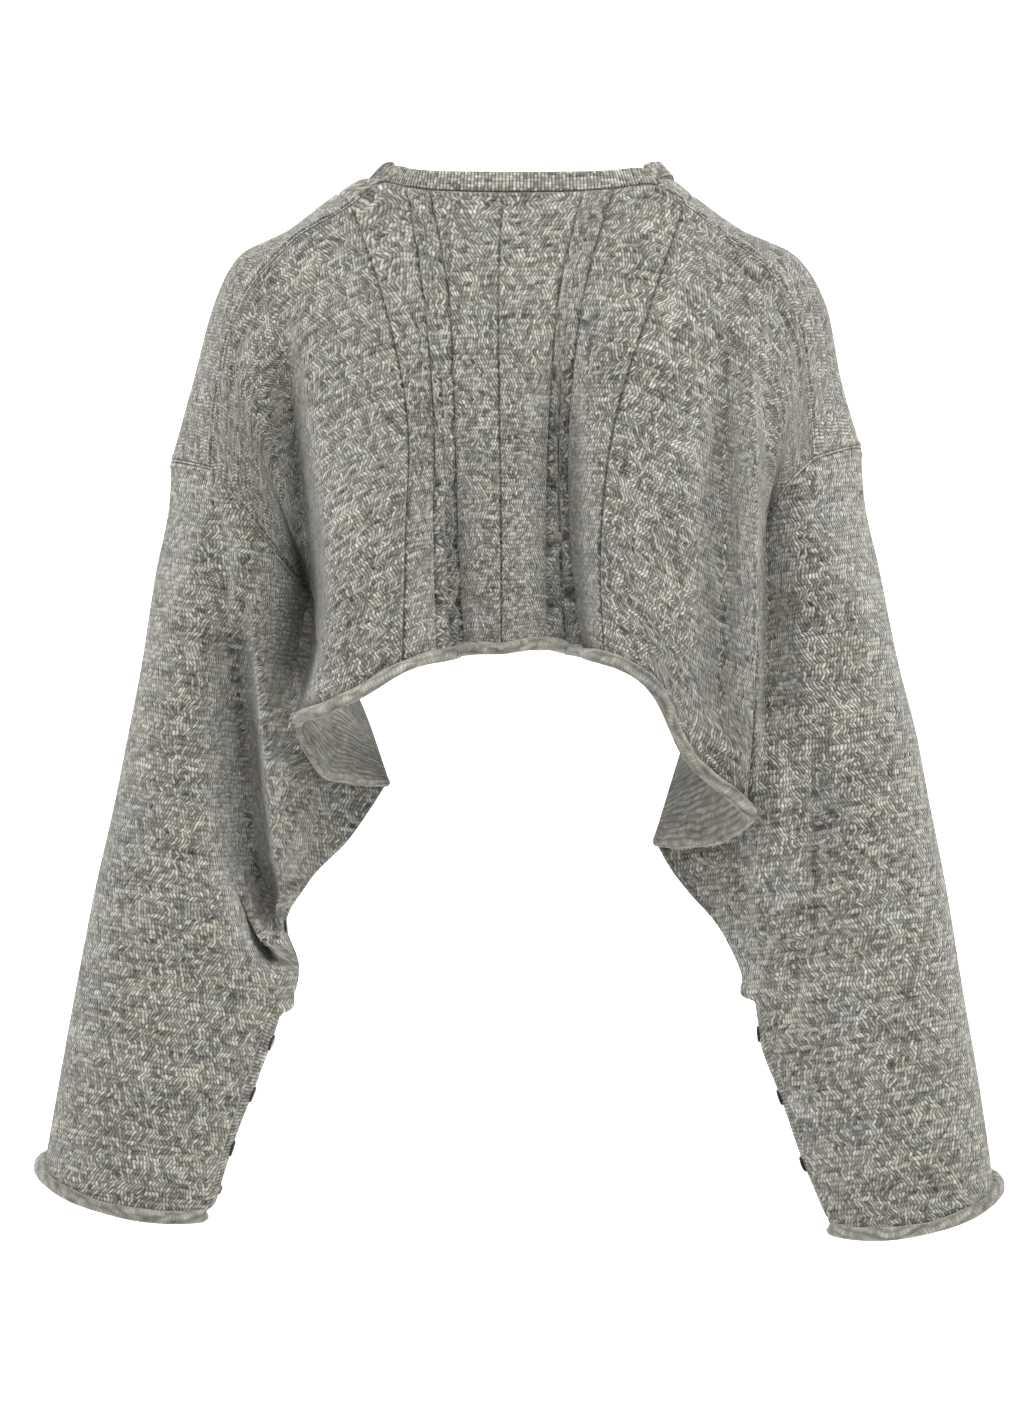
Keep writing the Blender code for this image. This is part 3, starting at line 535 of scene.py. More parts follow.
def knit_wall(name, outer, inner, across, down, relief):
    """A shell between a grid and every other point of an inner one. Its UV map, in metres, counts
    wales and courses. The point attribute purl is 1 on the inner side; another is 1 in a dip,
    where the wool's colour is darkened as painted shade."""
    rows, columns = outer.shape[:2]
    number = np.arange(rows * columns).reshape(rows, columns)
    inner = inner[::2, ::2]
    below = number.size + np.arange(inner.shape[0] * inner.shape[1]).reshape(inner.shape[:2])
    points = np.concatenate([outer.reshape(-1, 3), inner.reshape(-1, 3)]) * MM
    fine_rim = border_of(number)
    coarse_rim = border_of(below)
    rim = np.stack([
        np.roll(coarse_rim, -1), coarse_rim, fine_rim[::2], fine_rim[1::2], np.roll(fine_rim[::2], -1),
    ], -1)
    sides = [quads_of(number), quads_of(below)[:, ::-1], rim]
    corners = points[sides[0]]
    facing = np.cross(corners[:, 1] - corners[:, 0], corners[:, 2] - corners[:, 0])
    start = np.repeat(np.repeat(inner, 2, 0), 2, 1)[: rows - 1, : columns - 1].reshape(-1, 3)
    if ((corners[:, 0] - start * MM) * facing).sum() < 0:
        sides = [faces[:, ::-1] for faces in sides]
    mesh = new_mesh(name, points.tolist(), [face for faces in sides for face in faces.tolist()])
    uv = np.stack([across, down], -1) + PIECE_OFFSET * len(bpy.data.meshes)
    uv = np.concatenate([uv.reshape(-1, 2), uv[::2, ::2].reshape(-1, 2)]) * MM
    # Painted shade: the colour darkens in the grooves and in the cable and seam dips, by their depth.
    sunk = np.zeros(len(points))
    sunk[: relief.size] = np.clip(-relief.ravel() / GROOVE_DEPTH, 0, 1)
    purl = np.repeat([0.0, 1.0], [number.size, below.size])
    corner_points = np.concatenate([faces.ravel() for faces in sides])
    mark_cloth(mesh, uv, corner_points, purl=purl, sunk=sunk)
    mesh.shade_smooth()
    return link_object(name, mesh)


def add_node(tree, kind, inputs, **settings):
    """A new node with its settings and inputs."""
    node = tree.nodes.new(kind)
    for setting, value in settings.items():
        setattr(node, setting, value)
    feed(node, inputs)
    return node


def math_node(tree, operation, *values):
    return add_node(tree, "ShaderNodeMath", dict(enumerate(values)), operation=operation).outputs[0]


def noise_node(tree, vector, scale, detail):
    inputs = {"Vector": vector, "Scale": scale, "Detail": detail}
    return add_node(tree, "ShaderNodeTexNoise", inputs).outputs[0]


def scaled_vector(tree, vector, scale):
    inputs = {0: vector, "Scale": scale}
    return add_node(tree, "ShaderNodeVectorMath", inputs, operation="SCALE").outputs[0]


def colour_ramp(tree, value, *stops):
    """Colour of a value, from stops that are each a position and a colour, in order."""
    node = add_node(tree, "ShaderNodeValToRGB", {"Fac": value})
    elements = node.color_ramp.elements
    for _ in stops[2:]:
        elements.new(0.5)
    for element, (position, colour) in zip(elements, stops):
        element.position = position
        element.color = colour
    return node.outputs["Color"]


def marl_knit(name, stitch=WALE_WIDTH, course=COURSE_HEIGHT, bright=1.0, slant=1.0):
    """Two-ply marl yarn, light stone and dark grey, knitted plain; purl loops on the inner side."""
    material, shader = new_material(name)
    tree = material.node_tree
    calc = partial(math_node, tree)
    noise = partial(noise_node, tree)

    def place(x, y):
        return add_node(tree, "ShaderNodeCombineXYZ", {0: x, 1: y}).outputs[0]

    def patches(x, y, scales, detail):
        return noise(place(calc("MULTIPLY", x, scales[0]), calc("MULTIPLY", y, scales[1])), 1.0, detail)

    def centred(value, amount):
        return calc("MULTIPLY", calc("SUBTRACT", value, 0.5), amount)

    def loop(first, second, powers):
        return calc("MULTIPLY", calc("POWER", first, powers[0]), calc("POWER", second, powers[1]))

    def stored(label):
        return add_node(tree, "ShaderNodeAttribute", {}, attribute_name=label).outputs["Fac"]

    uv = add_node(tree, "ShaderNodeUVMap", {}, uv_map="knit").outputs["UV"]
    u, v = add_node(tree, "ShaderNodeSeparateXYZ", {0: uv}).outputs[:2]
    drift = centred(noise(uv, DRIFT_SCALE, 1.0), COURSE_DRIFT)
    sway = centred(noise(place(v, u), SWAY_SCALE, 1.0), WALE_SWAY * slant)
    courses = calc("ADD", calc("DIVIDE", v, course), drift)
    row = calc("FLOOR", courses)
    up_row = calc("FRACT", courses)
    lean = centred(patches(u, row, LEAN_SCALES, 0.0), LEAN_CONTRAST)
    lean = calc("MULTIPLY", calc("MINIMUM", calc("MAXIMUM", lean, -1.0), 1.0), LEG_LEAN * slant)
    wales = calc("ADD", calc("DIVIDE", u, stitch), sway)
    wales = calc("ADD", wales, calc("MULTIPLY", row, WALE_SHIFT * slant))
    wales = calc("ADD", wales, calc("MULTIPLY", lean, calc("SUBTRACT", up_row, 0.5)))
    across_leg = calc("SINE", calc("MULTIPLY", calc("FRACT", wales), math.pi))
    along_leg = calc("SINE", calc("MULTIPLY", up_row, math.pi))
    plain_height = loop(across_leg, along_leg, PLAIN_ROUND)
    purl_height = calc("MULTIPLY_ADD", loop(along_leg, across_leg, PURL_ROUND), PURL_RISE, PURL_BASE)
    purl = stored("purl")
    plain_part = calc("MULTIPLY", plain_height, calc("SUBTRACT", 1.0, purl))
    height = calc("ADD", plain_part, calc("MULTIPLY", purl_height, purl))

    leg_place = place(calc("FLOOR", wales), row)
    leg = add_node(tree, "ShaderNodeTexWhiteNoise", {"Vector": leg_place}).outputs["Value"]
    leg_share = calc("MULTIPLY_ADD", purl, PURL_LEG_TONE - LEG_TONE, LEG_TONE)
    tone = calc("MULTIPLY_ADD", calc("SUBTRACT", leg, 0.5), leg_share, MIDDLE_TONE)
    tone = calc("ADD", tone, centred(patches(u, v, STREAK_SCALES, 2.0), STREAK_TONE))
    tone = calc("ADD", tone, centred(patches(u, v, CLOUD_SCALES, 3.0), CLOUD_TONE))
    yarn = colour_ramp(tree, tone, (0.05, DARK_YARN), (0.5, MIDDLE_YARN), (0.95, LIGHT_YARN))
    tint = colour_ramp(tree, patches(v, u, TINT_SCALES, 2.0), (0.35, WARM_TINT), (0.65, COOL_TINT))
    tinted = add_node(tree, "ShaderNodeVectorMath", {0: yarn, 1: tint}, operation="MULTIPLY").outputs[0]
    # Painted shade: the gaps between loops are darker than the loops' tops.
    loop_shade = calc("MULTIPLY_ADD", height, LOOP_SHADE * bright, GAP_SHADE * bright)
    # Painted shade: the dips darken the colour further.
    shadow = calc("MULTIPLY_ADD", stored("sunk"), -SUNK_SHADE, 1.0)
    hair = noise(uv, HAIR_SCALE, 2.0)
    bump = add_node(tree, "ShaderNodeBump", {
        "Distance": KNIT_BUMP,
        "Strength": BUMP_STRENGTH,
        "Height": calc("MULTIPLY_ADD", hair, HAIR_HEIGHT, height),
    })
    feed(shader, {
        "Base Color": scaled_vector(tree, tinted, calc("MULTIPLY", loop_shade, shadow)),
        "Normal": bump.outputs["Normal"],
        "Roughness": WOOL_ROUGHNESS,
        "Specular IOR Level": WOOL_SHINE,
        "Sheen Weight": WOOL_SHEEN,
        "Sheen Roughness": SHEEN_ROUGHNESS,
        "Sheen Tint": SHEEN_TINT,
    })
    return material


def across_from_middle(names, places, grid):
    """Width of cloth from the middle wale, with wales that keep to the sunken ones."""
    across = distances(grid, 1)
    number = np.arange(len(names))
    on_line = np.array([np.interp(number, places, row) for row in across])
    middle = names.index("centre")
    grooves = [n for n, name in enumerate(names) if name == "groove"]
    mean = on_line.mean(axis=0)
    steady = np.interp(places, number, mean) - mean[middle]
    width = np.broadcast_to(steady, across.shape).copy()
    for groove, beyond in ((grooves[0], places < grooves[0]), (grooves[1], places > grooves[1])):
        past = across[:, beyond] - on_line[:, groove : groove + 1]
        width[:, beyond] = mean[groove] - mean[middle] + past
    return width


def knit_panel(name, names, places, grid, normals, beside_seam):
    """A panel's wall with its relief, its rolled hem, and wales that keep to the sunken ones."""
    relief = panel_relief(names, places, grid, beside_seam)
    outer, inner, whole = rolled_wall(grid, normals, relief, HEM_FADE)
    width = across_from_middle(names, places, grid)
    width = np.concatenate([width, np.repeat(width[-1:], ROLL_STEPS, 0)])
    course = np.broadcast_to(distances(whole, 0).mean(axis=1, keepdims=True), width.shape)
    panel = knit_wall(name, outer, inner, width, course, relief)
    panel.data.materials.append(wool)
    return panel


wool = marl_knit("marl_wool")
back_lines = BACK_LEFT + BACK_RIGHT[::-1]
back_names = [line.name for line in back_lines]
smooth_back, back_places = knitted_grid(back_names, [line[1:] for line in back_lines])
back = creased(smooth_back)
back_normals = grid_normals(back, 1)
back_knit = knit_panel("back_knit", back_names, back_places, back, back_normals, True)
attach(back_knit, "root")
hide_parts("back_panel")

# Front panel: the same marl knit, from the shoulder seam over the top of the shoulder and down the
# front, with the same cables, sunken wales and rolled edge, and a deeper neckline.
FrontLine = namedtuple("FrontLine", "name over_left over_right chest waist hem")
FRONT = [FrontLine(*row) for row in (
    ("seam", (246, 0, -188), (-235, 0, -181), (207, -54, -217), (158, -50, -293), None),
    ("arm", (231, 1, -132), (-222, 1, -133), (203, -60, -174), (163, -68, -270), (114, -24, -402)),
    ("valley", (216, 2, -77), (-212, 2, -81), (193, -66, -135), (162, -86, -250), (126, -46, -382)),
    ("ridge", (197, 2, -43), (-191, 2, -47), (172, -84, -108), (138, -110, -232), (129, -84, -350)),
    ("flank", (180, 2, -34), (-174, 2, -38), (150, -94, -98), (115, -120, -226), (108, -112, -333)),
    ("mid", (163, 0, -26), (-156, 0, -30), (128, -100, -92), (94, -127, -222), (88, -124, -325)),
    ("groove", (129, 0, -1), (-122, 0, -6), (100, -104, -86), (72, -130, -219), (66, -129, -320)),
    ("neck", (113, 2, 7), (-109, 2, 4), (92, -105, -84), (62, -131, -218), (57, -130, -319)),
    ("side", (107, -38, -12), (-107, -38, -12), (84, -106, -84), (54, -132, -217), (50, -131, -318)),
    ("cable_out", (72, -78, -55), (-72, -78, -55), (62, -112, -92), (46, -133, -217), (43, -132, -317)),
    ("cable_in", (58, -84, -63), (-58, -84, -63), (48, -116, -98), (32, -134, -217), (29, -132, -316)),
    ("centre", (0, -93, -76), (0, -93, -76), (0, -120, -110), (0, -135, -217), (0, -132, -316)),
)]
NECK_FRONT = {
    "side": (107, -4, 9), "cable_out": (76, -50, -33), "cable_in": (62, -57, -40), "centre": (0, -70, -54),
}


def front_stations(lines, back_side, sign):
    """Stations of one side of the front, whose top ends are on the back's top edge."""
    tops = {line.name: line.top for line in back_side}
    stations = []
    for line in lines:
        over = line.over_left if sign > 0 else line.over_right
        own = [line.chest, line.waist]
        if line.hem:
            own.append(line.hem)
        own = [(sign * place[0],) + place[1:] for place in own]
        if not line.hem:
            own.append(back_side[0].hem)
        if line.name in NECK_FRONT:
            top = (sign * NECK_FRONT[line.name][0],) + NECK_FRONT[line.name][1:]
        else:
            top = tops[line.name]
        stations.append((top, over, *own))
    return stations


front_names = [line.name for line in FRONT] + [line.name for line in FRONT[-2::-1]]
front_left = front_stations(FRONT, BACK_LEFT, 1)
front_right = front_stations(FRONT[:-1], BACK_RIGHT, -1)
smooth_front, front_places = knitted_grid(front_names, front_left + front_right[::-1])
front = creased(smooth_front)
front_normals = grid_normals(front, -1)
front_knit = knit_panel("front_knit", front_names, front_places, front, front_normals, False)
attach(front_knit, "root")
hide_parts("front_panel")

# Sleeves: wide tubes of plain knit, linked to both panels along the deep dropped armhole and closed
# under the arm down to the buttoned opening. The raw cuff rolls outwards.
Ring = namedtuple("Ring", "along outer inner back front droop")
SLEEVE_LEFT = [Ring(*row) for row in (
    (0.00, (246, -188), (93, -415), 52, 52, 0),
    (0.07, (248, -222), (107, -437), 52, 51, 0),
    (0.15, (257, -264), (122, -458), 52, 50, 0),
    (0.28, (269, -337), (150, -486), 54, 52, 0),
    (0.38, (279, -388), (166, -514), 54, 52, 0),
    (0.47, (288, -432), (157, -543), 52, 50, 0),
    (0.60, (301, -488), (166, -582), 50, 46, 0),
    (0.75, (316, -564), (183, -630), 47, 44, 4),
    (0.88, (328, -629), (198, -669), 44, 42, 9),
    (1.00, (338, -685), (211, -711), 42, 40, 16),
)]
SLEEVE_RIGHT = [Ring(*row) for row in (
    (0.00, (-235, -181), (-95, -456), 52, 52, 0),
    (0.07, (-238, -220), (-104, -473), 52, 51, 0),
    (0.15, (-248, -261), (-118, -492), 52, 50, 0),
    (0.28, (-264, -332), (-144, -523), 54, 52, 0),
    (0.38, (-276, -378), (-157, -551), 54, 52, 0),
    (0.47, (-285, -425), (-162, -578), 52, 50, 0),
    (0.60, (-297, -486), (-165, -600), 50, 46, 0),
    (0.75, (-309, -560), (-179, -636), 47, 44, 5),
    (0.88, (-320, -624), (-193, -676), 44, 42, 11),
    (1.00, (-330, -694), (-209, -713), 42, 40, 18),
)]
POINTED = 0.35
RING_BLEND = 0.34
Fold = namedtuple("Fold", "side path half_width height")
SLEEVE_FOLDS = (
    Fold("left", ((0.04, 135), (0.22, 95), (0.36, 58), (0.44, 40)), 17, -11),
    Fold("left", ((0.04, 112), (0.20, 70), (0.34, 44), (0.40, 28)), 12, 6),
    Fold("right", ((0.05, 112), (0.24, 88), (0.42, 66), (0.56, 52)), 15, -7),
    Fold("right", ((0.05, 90), (0.24, 66), (0.34, 46)), 12, 5),
    Fold("left", ((0.05, 262), (0.30, 282), (0.55, 312)), 15, -8),
    Fold("right", ((0.05, 258), (0.28, 276), (0.52, 300)), 15, -8),
)
FOLD_FADE = 0.13
SLEEVE_LENGTH = 500.0
SLEEVE_GIRTH = 440.0
SLEEVE_ROW_STEP = 2.5
SLEEVE_COLUMN_STEP = 2.4
CUFF_FADE = 6.0
CUFF_TURN = math.radians(9)
UV_LEVELS = 240
CURL_HEIGHT = 6.0
CURL_AFTER = 0.035
CURL_LENGTH = 0.028
CURL_WIDTH = 11.0
Opening = namedtuple("Opening", "start full")
OPENINGS = {"left": Opening(0.54, 0.62), "right": Opening(0.38, 0.48)}
SLIT_BACK = math.radians(28)
SLIT_FRONT = math.radians(20)


def points_along(places, run, line):
    """Points of a line at places along its run."""
    return np.stack([np.interp(places, run, line[:, k]) for k in range(3)], -1)


class SleeveForm:
    """One sleeve from the armhole to the cuff, read at any place along it and angle round it."""

    def __init__(self, side, table, loop, over_index):
        self.side = side
        self.outward = 1 if side == "right" else -1
        self.opening = OPENINGS[side]
        self.knots = [ring.along for ring in table]
        self.outer = [(ring.outer[0], 0, ring.outer[1]) for ring in table]
        self.inner = [(ring.inner[0], 2, ring.inner[1]) for ring in table]
        self.depths = [(ring.back, ring.front, ring.droop) for ring in table]
        arc = distances(loop[None], 1)[0]
        before = arc[: over_index + 1] / arc[over_index]
        after = (arc[over_index:] - arc[over_index]) / (arc[-1] - arc[over_index])
        self.turn = np.concatenate([before, 1 + after[1:]]) * math.pi
        centre, half = self.frame(np.array([0.0]))
        self.loop_local = ((loop - centre[0]) @ half[0]) / (half[0] @ half[0])
        self.loop_rest = loop - centre[0] - self.loop_local[:, None] * half[0]

    def frame(self, along):
        outer = smooth_through(self.knots, self.outer, along)
        inner = smooth_through(self.knots, self.inner, along)
        return (outer + inner) / 2, (outer - inner) / 2

    def points(self, along, turn):
        shape = turn.shape
        along = along.ravel()
        turn = turn.ravel()
        centre, half = self.frame(along)
        back_depth, front_depth, droop = smooth_through(self.knots, self.depths, along).T
        near = (1 + np.cos(turn)) / 2
        depth = np.where(np.sin(turn) > 0, back_depth, front_depth) * np.sin(turn)
        ring = centre - half * np.cos(turn)[:, None]
        ring[:, 1] += depth * (1 - POINTED * near**2)
        ring[:, 2] -= droop * np.sin(turn)
        local = np.interp(turn, self.turn, self.loop_local)[:, None]
        from_loop = centre + half * local + points_along(turn, self.turn, self.loop_rest)
        blend = smoothstep(0, RING_BLEND, along)[:, None]
        return (from_loop + (ring - from_loop) * blend).reshape(*shape, 3)

    def slit(self, along):
        opened = smoothstep(self.opening.start, self.opening.full, along)
        return SLIT_BACK * opened, 2 * math.pi - SLIT_FRONT * opened

    def folds(self, along, around):
        height = np.zeros(along.shape)
        for fold in SLEEVE_FOLDS:
            if fold.side != self.side:
                continue
            path = np.array(fold.path, float)
            middle = np.interp(along, path[:, 0], path[:, 1])
            distance = (around - middle) / 360 * SLEEVE_GIRTH
            beyond = np.maximum(path[0, 0] - along, along - path[-1, 0]) * SLEEVE_LENGTH
            distance = np.hypot(distance, np.maximum(beyond, 0))
            height += fold.height * np.exp(-((distance / fold.half_width) ** 2))
        return height * smoothstep(0, FOLD_FADE, along)

    def curl(self, along, across):
        """The corner of the free back edge, which curls out where the opening starts."""
        beyond = (along - self.opening.start - CURL_AFTER) / CURL_LENGTH
        return CURL_HEIGHT * np.exp(-(beyond**2)) * (1 - smoothstep(0, CURL_WIDTH, across))

    def grid(self):
        ends = [0.0, SLEEVE_LENGTH]
        along = uneven_places(SLEEVE_LENGTH, ends, EDGE_REACH, FINE_STEP, SLEEVE_ROW_STEP)
        along = (along / SLEEVE_LENGTH)[:, None]
        start, end = self.slit(along)
        ends = [0.0, SLEEVE_GIRTH]
        around = uneven_places(SLEEVE_GIRTH, ends, EDGE_REACH, FINE_STEP, SLEEVE_COLUMN_STEP)
        even = np.interp(around / SLEEVE_GIRTH, np.linspace(0, 1, len(self.turn)), self.turn)
        turn = np.where(
            even < math.pi,
            start + even * (math.pi - start) / math.pi,
            math.pi + (even - math.pi) * (end - math.pi) / math.pi,
        )
        along = np.broadcast_to(along, turn.shape)
        points = self.points(along, turn)
        normals = grid_normals(points, self.outward)
        height = self.folds(along, np.degrees(turn)) + self.curl(along, distances(points, 1))
        return creased(points + normals * height[..., None]), int(np.argmin(np.abs(even - math.pi)))


def level_map(grid, side, outer_column):
    """Distance round the sleeve from its outer edge and down it, along level courses."""
    turn = CUFF_TURN if side == "left" else -CUFF_TURN
    axis = np.array([math.sin(turn), 0, -math.cos(turn)])
    level = np.maximum.accumulate(grid @ axis, axis=0) + 1e-6 * np.arange(len(grid))[:, None]
    levels = np.linspace(level.min(), level.max(), UV_LEVELS)
    columns = range(grid.shape[1])
    rings = np.array([points_along(levels, level[:, c], grid[:, c]) for c in columns])
    around = distances(np.swapaxes(rings, 0, 1), 1)
    around -= around[:, [outer_column]]
    around = np.array([np.interp(level[:, c], levels, around[:, c]) for c in columns]).T
    return around, level - level.min()


armhole_loops = {
    side: np.concatenate([smooth_back[::-1, column], smooth_front[1:, column]])
    for side, column in (("left", 0), ("right", -1))
}
over = len(back) - 1 + int(np.argmax(np.abs(armhole_loops["left"][len(back) - 1 :, 0])))
sleeve_forms = {
    "left": SleeveForm("left", SLEEVE_LEFT, armhole_loops["left"], over),
    "right": SleeveForm("right", SLEEVE_RIGHT, armhole_loops["right"], over),
}

for side, form in sleeve_forms.items():
    grid, outer_column = form.grid()
    normals = grid_normals(grid, form.outward)
    down = distances(grid, 0)
    across = distances(grid, 1)
    relief = seam_relief(down, across)
    outer, inner, whole = rolled_wall(grid, normals, relief, CUFF_FADE)
    width, course = level_map(grid, side, outer_column)
    width = np.concatenate([width, np.repeat(width[-1:], ROLL_STEPS, 0)])
    past_edge = distances(whole, 0)[len(grid):] - down[-1]
    course = np.concatenate([course, course[-1] + past_edge])
    sleeve = knit_wall(f"sleeve_{side}_knit", outer, inner, width, course, relief)
    sleeve.data.materials.append(wool)
    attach(sleeve, "root")
    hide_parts(f"sleeve_{side}")

# Neckband: a narrow band of fine ribs that stands on the neck seam and leans in, more so at the sides
# and the front. It is knitted on, and its top edge is rounded.
BAND_SEAT = -0.8
BACK_LEAN = 12.0
FRONT_LEAN = 30.0
SIDE_LEAN = 42.0
NECK_HALF_WIDTH = 104.0
RIB_PITCH = 2.45
RIB_HEIGHT = 0.6
RIB_POINTS = 8
RIB_ROUND = 0.7
RIB_MEAN = 0.6
BAND_COURSE = 0.0024
BAND_BRIGHTNESS = 1.16
TANGENT_REACH = 30
# Painted shade along the first edge of a band's section: its width in mm and its strength.
BASE_SHADE = 1.1
BASE_PAINTED_SHADE = 0.9
Edge = namedtuple("Edge", "out up raised")
BAND_SECTION = (
    Edge(0.0, 0.0, 0.0), Edge(0.25, 0.8, 0.5), Edge(0.35, 2.0, 1.0), Edge(0.35, 5.0, 1.0),
    Edge(0.35, 8.0, 1.0), Edge(0.25, 11.0, 1.0), Edge(0.1, 13.4, 1.0), Edge(-0.3, 14.5, 0.8),
    Edge(-1.2, 15.0, 0.5), Edge(-2.0, 14.6, 0.6), Edge(-2.4, 13.4, 0.8), Edge(-2.4, 8.0, 0.8),
    Edge(-2.4, 2.0, 0.8), Edge(-2.3, 0.0, 0.0),
)


def geometry_tree(name, sizes):
    """A tree that takes a mesh, sizes by name and kind, and a material, and gives a mesh."""
    tree = bpy.data.node_groups.new(name, "GeometryNodeTree")
    for label, kind in {"Geometry": "Geometry", **sizes, "Material": "Material"}.items():
        tree.interface.new_socket(label, in_out="INPUT", socket_type=f"NodeSocket{kind}")
    tree.interface.new_socket("Geometry", in_out="OUTPUT", socket_type="NodeSocketGeometry")
    return tree, tree.nodes.new("NodeGroupInput")


def named_attribute(tree, name, kind):
    inputs = {"Name": name}
    return add_node(tree, "GeometryNodeInputNamedAttribute", inputs, data_type=kind).outputs["Attribute"]


def end_tree(tree, given, shape):
    """Ends a tree in Realize Instances and Set Material, and gives the tree back."""
    real = add_node(tree, "GeometryNodeRealizeInstances", {"Geometry": shape})
    coloured = add_node(tree, "GeometryNodeSetMaterial", {
        "Geometry": real.outputs["Geometry"], "Material": given.outputs["Material"],
    })
    add_node(tree, "NodeGroupOutput", {"Geometry": coloured.outputs["Geometry"]})
    return tree


def raised_ribs():
    """Geometry nodes that raise rounded ribs on a surface, at a pitch along its attribute across."""
    tree, given = geometry_tree("raised_ribs", {"Rib Pitch": "Float", "Rib Height": "Float"})
    calc = partial(math_node, tree)
    across = named_attribute(tree, "across", "FLOAT")
    turns = calc("MULTIPLY", calc("DIVIDE", across, given.outputs["Rib Pitch"]), math.pi)
    rounded = calc("POWER", calc("ABSOLUTE", calc("SINE", turns)), RIB_ROUND)
    rise = calc("MULTIPLY", calc("SUBTRACT", rounded, RIB_MEAN), given.outputs["Rib Height"])
    rise = calc("MULTIPLY", rise, named_attribute(tree, "raised", "FLOAT"))
    normal = add_node(tree, "GeometryNodeInputNormal", {}).outputs["Normal"]
    moved = add_node(tree, "GeometryNodeSetPosition", {
        "Geometry": given.outputs["Geometry"], "Offset": scaled_vector(tree, normal, rise),
    })
    return end_tree(tree, given, moved.outputs["Geometry"])


def run_nodes(piece, tree, **values):
    """Makes a piece's mesh with a node tree; values are the tree's inputs by name."""
    modifier = piece.modifiers.new(tree.name, "NODES")
    modifier.node_group = tree
    for item in tree.interface.items_tree:
        label = item.name.replace(" ", "_")
        if item.in_out == "INPUT" and label in values:
            modifier[item.identifier] = values[label]
    graph = bpy.context.evaluated_depsgraph_get()
    made = bpy.data.meshes.new_from_object(
        piece.evaluated_get(graph), preserve_all_data_layers=True, depsgraph=graph
    )
    piece.modifiers.remove(modifier)
    piece.data = made
    made.name = piece.name
    made.shade_smooth()


def ribbed_piece(name, grid, across, raised, ring, material, pitch, height):
    """A closed wall from rows of points round its section, with ribs along across."""
    rows, columns = grid.shape[:2]
    number = np.arange(rows * columns).reshape(rows, columns)
    number = np.concatenate([number, number[:1]])
    if ring:
        number = np.concatenate([number, number[:, :1]], axis=1)
    faces = quads_of(number).tolist()
    if not ring:
        faces += [number[:-1, 0].tolist(), number[-2::-1, -1].tolist()]
    mesh = new_mesh(name, (grid.reshape(-1, 3) * MM).tolist(), faces)
    section = distances(grid, 0)
    across = np.broadcast_to(across, section.shape) * MM
    # Painted shade darkens the colour along the first edge of the section, at the base of the band.
    mark_cloth(
        mesh, np.stack([across.ravel(), section.ravel() * MM], -1), np.concatenate(faces), across=across,
        raised=np.broadcast_to(raised[:, None], section.shape), purl=np.zeros(section.shape),
        sunk=np.exp(-((section / BASE_SHADE) ** 2)) * BASE_PAINTED_SHADE,
    )
    shell = bmesh.new()
    shell.from_mesh(mesh)
    bmesh.ops.recalc_face_normals(shell, faces=shell.faces)
    if shell.calc_volume(signed=True) < 0:
        bmesh.ops.reverse_faces(shell, faces=shell.faces)
    shell.to_mesh(mesh)
    shell.free()
    mesh.shade_smooth()
    piece = link_object(name, mesh)
    run_nodes(piece, rib_tree, Rib_Pitch=pitch * MM, Rib_Height=height * MM, Material=material)
    return piece


def neck_columns(names, places):
    return [int(np.argmin(np.abs(places - n))) for n, name in enumerate(names) if name == "neck"]


rib_tree = raised_ribs()
band_wool = marl_knit(
    "band_wool", stitch=RIB_PITCH * MM, course=BAND_COURSE, bright=BAND_BRIGHTNESS, slant=0.0
)
back_necks = neck_columns(back_names, back_places)
front_necks = neck_columns(front_names, front_places)
neck_loop = np.concatenate([
    back[0, back_necks[0] : back_necks[1]], front[0, front_necks[0] : front_necks[1] + 1][::-1],
])
neck_run = distances(neck_loop[None], 1)[0]
rib_count = round(neck_run[-1] / RIB_PITCH)
neck_places = np.arange(rib_count * RIB_POINTS) / (rib_count * RIB_POINTS) * neck_run[-1]
band_base = points_along(neck_places, neck_run, neck_loop)
band_run = unit(np.roll(band_base, -TANGENT_REACH, 0) - np.roll(band_base, TANGENT_REACH, 0))
inwards = -band_base * (1, 1, 0)
inwards = unit(inwards - band_run * (inwards * band_run).sum(axis=-1, keepdims=True))
level_lean = np.where(band_base[:, 1] > 0, BACK_LEAN, FRONT_LEAN)
beside_neck = np.minimum(1.0, np.abs(band_base[:, 0]) / NECK_HALF_WIDTH) ** 2
lean = np.radians(level_lean + (SIDE_LEAN - level_lean) * beside_neck)[:, None]
band_rise = unit(np.cos(lean) * np.array([0, 0, 1]) + np.sin(lean) * inwards)
band_out = unit(np.cross(band_run, band_rise))
band_out *= np.sign((band_out * -inwards).sum(axis=-1, keepdims=True))
band_grid = np.array([
    band_base + band_rise * (BAND_SEAT + edge.up) + band_out * edge.out for edge in BAND_SECTION
])
raised = np.array([edge.raised for edge in BAND_SECTION])
neckband = ribbed_piece(
    "neckband_ribs", band_grid, neck_places, raised, True, band_wool, neck_run[-1] / rib_count, RIB_HEIGHT
)
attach(neckband, "root")
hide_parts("neckband")

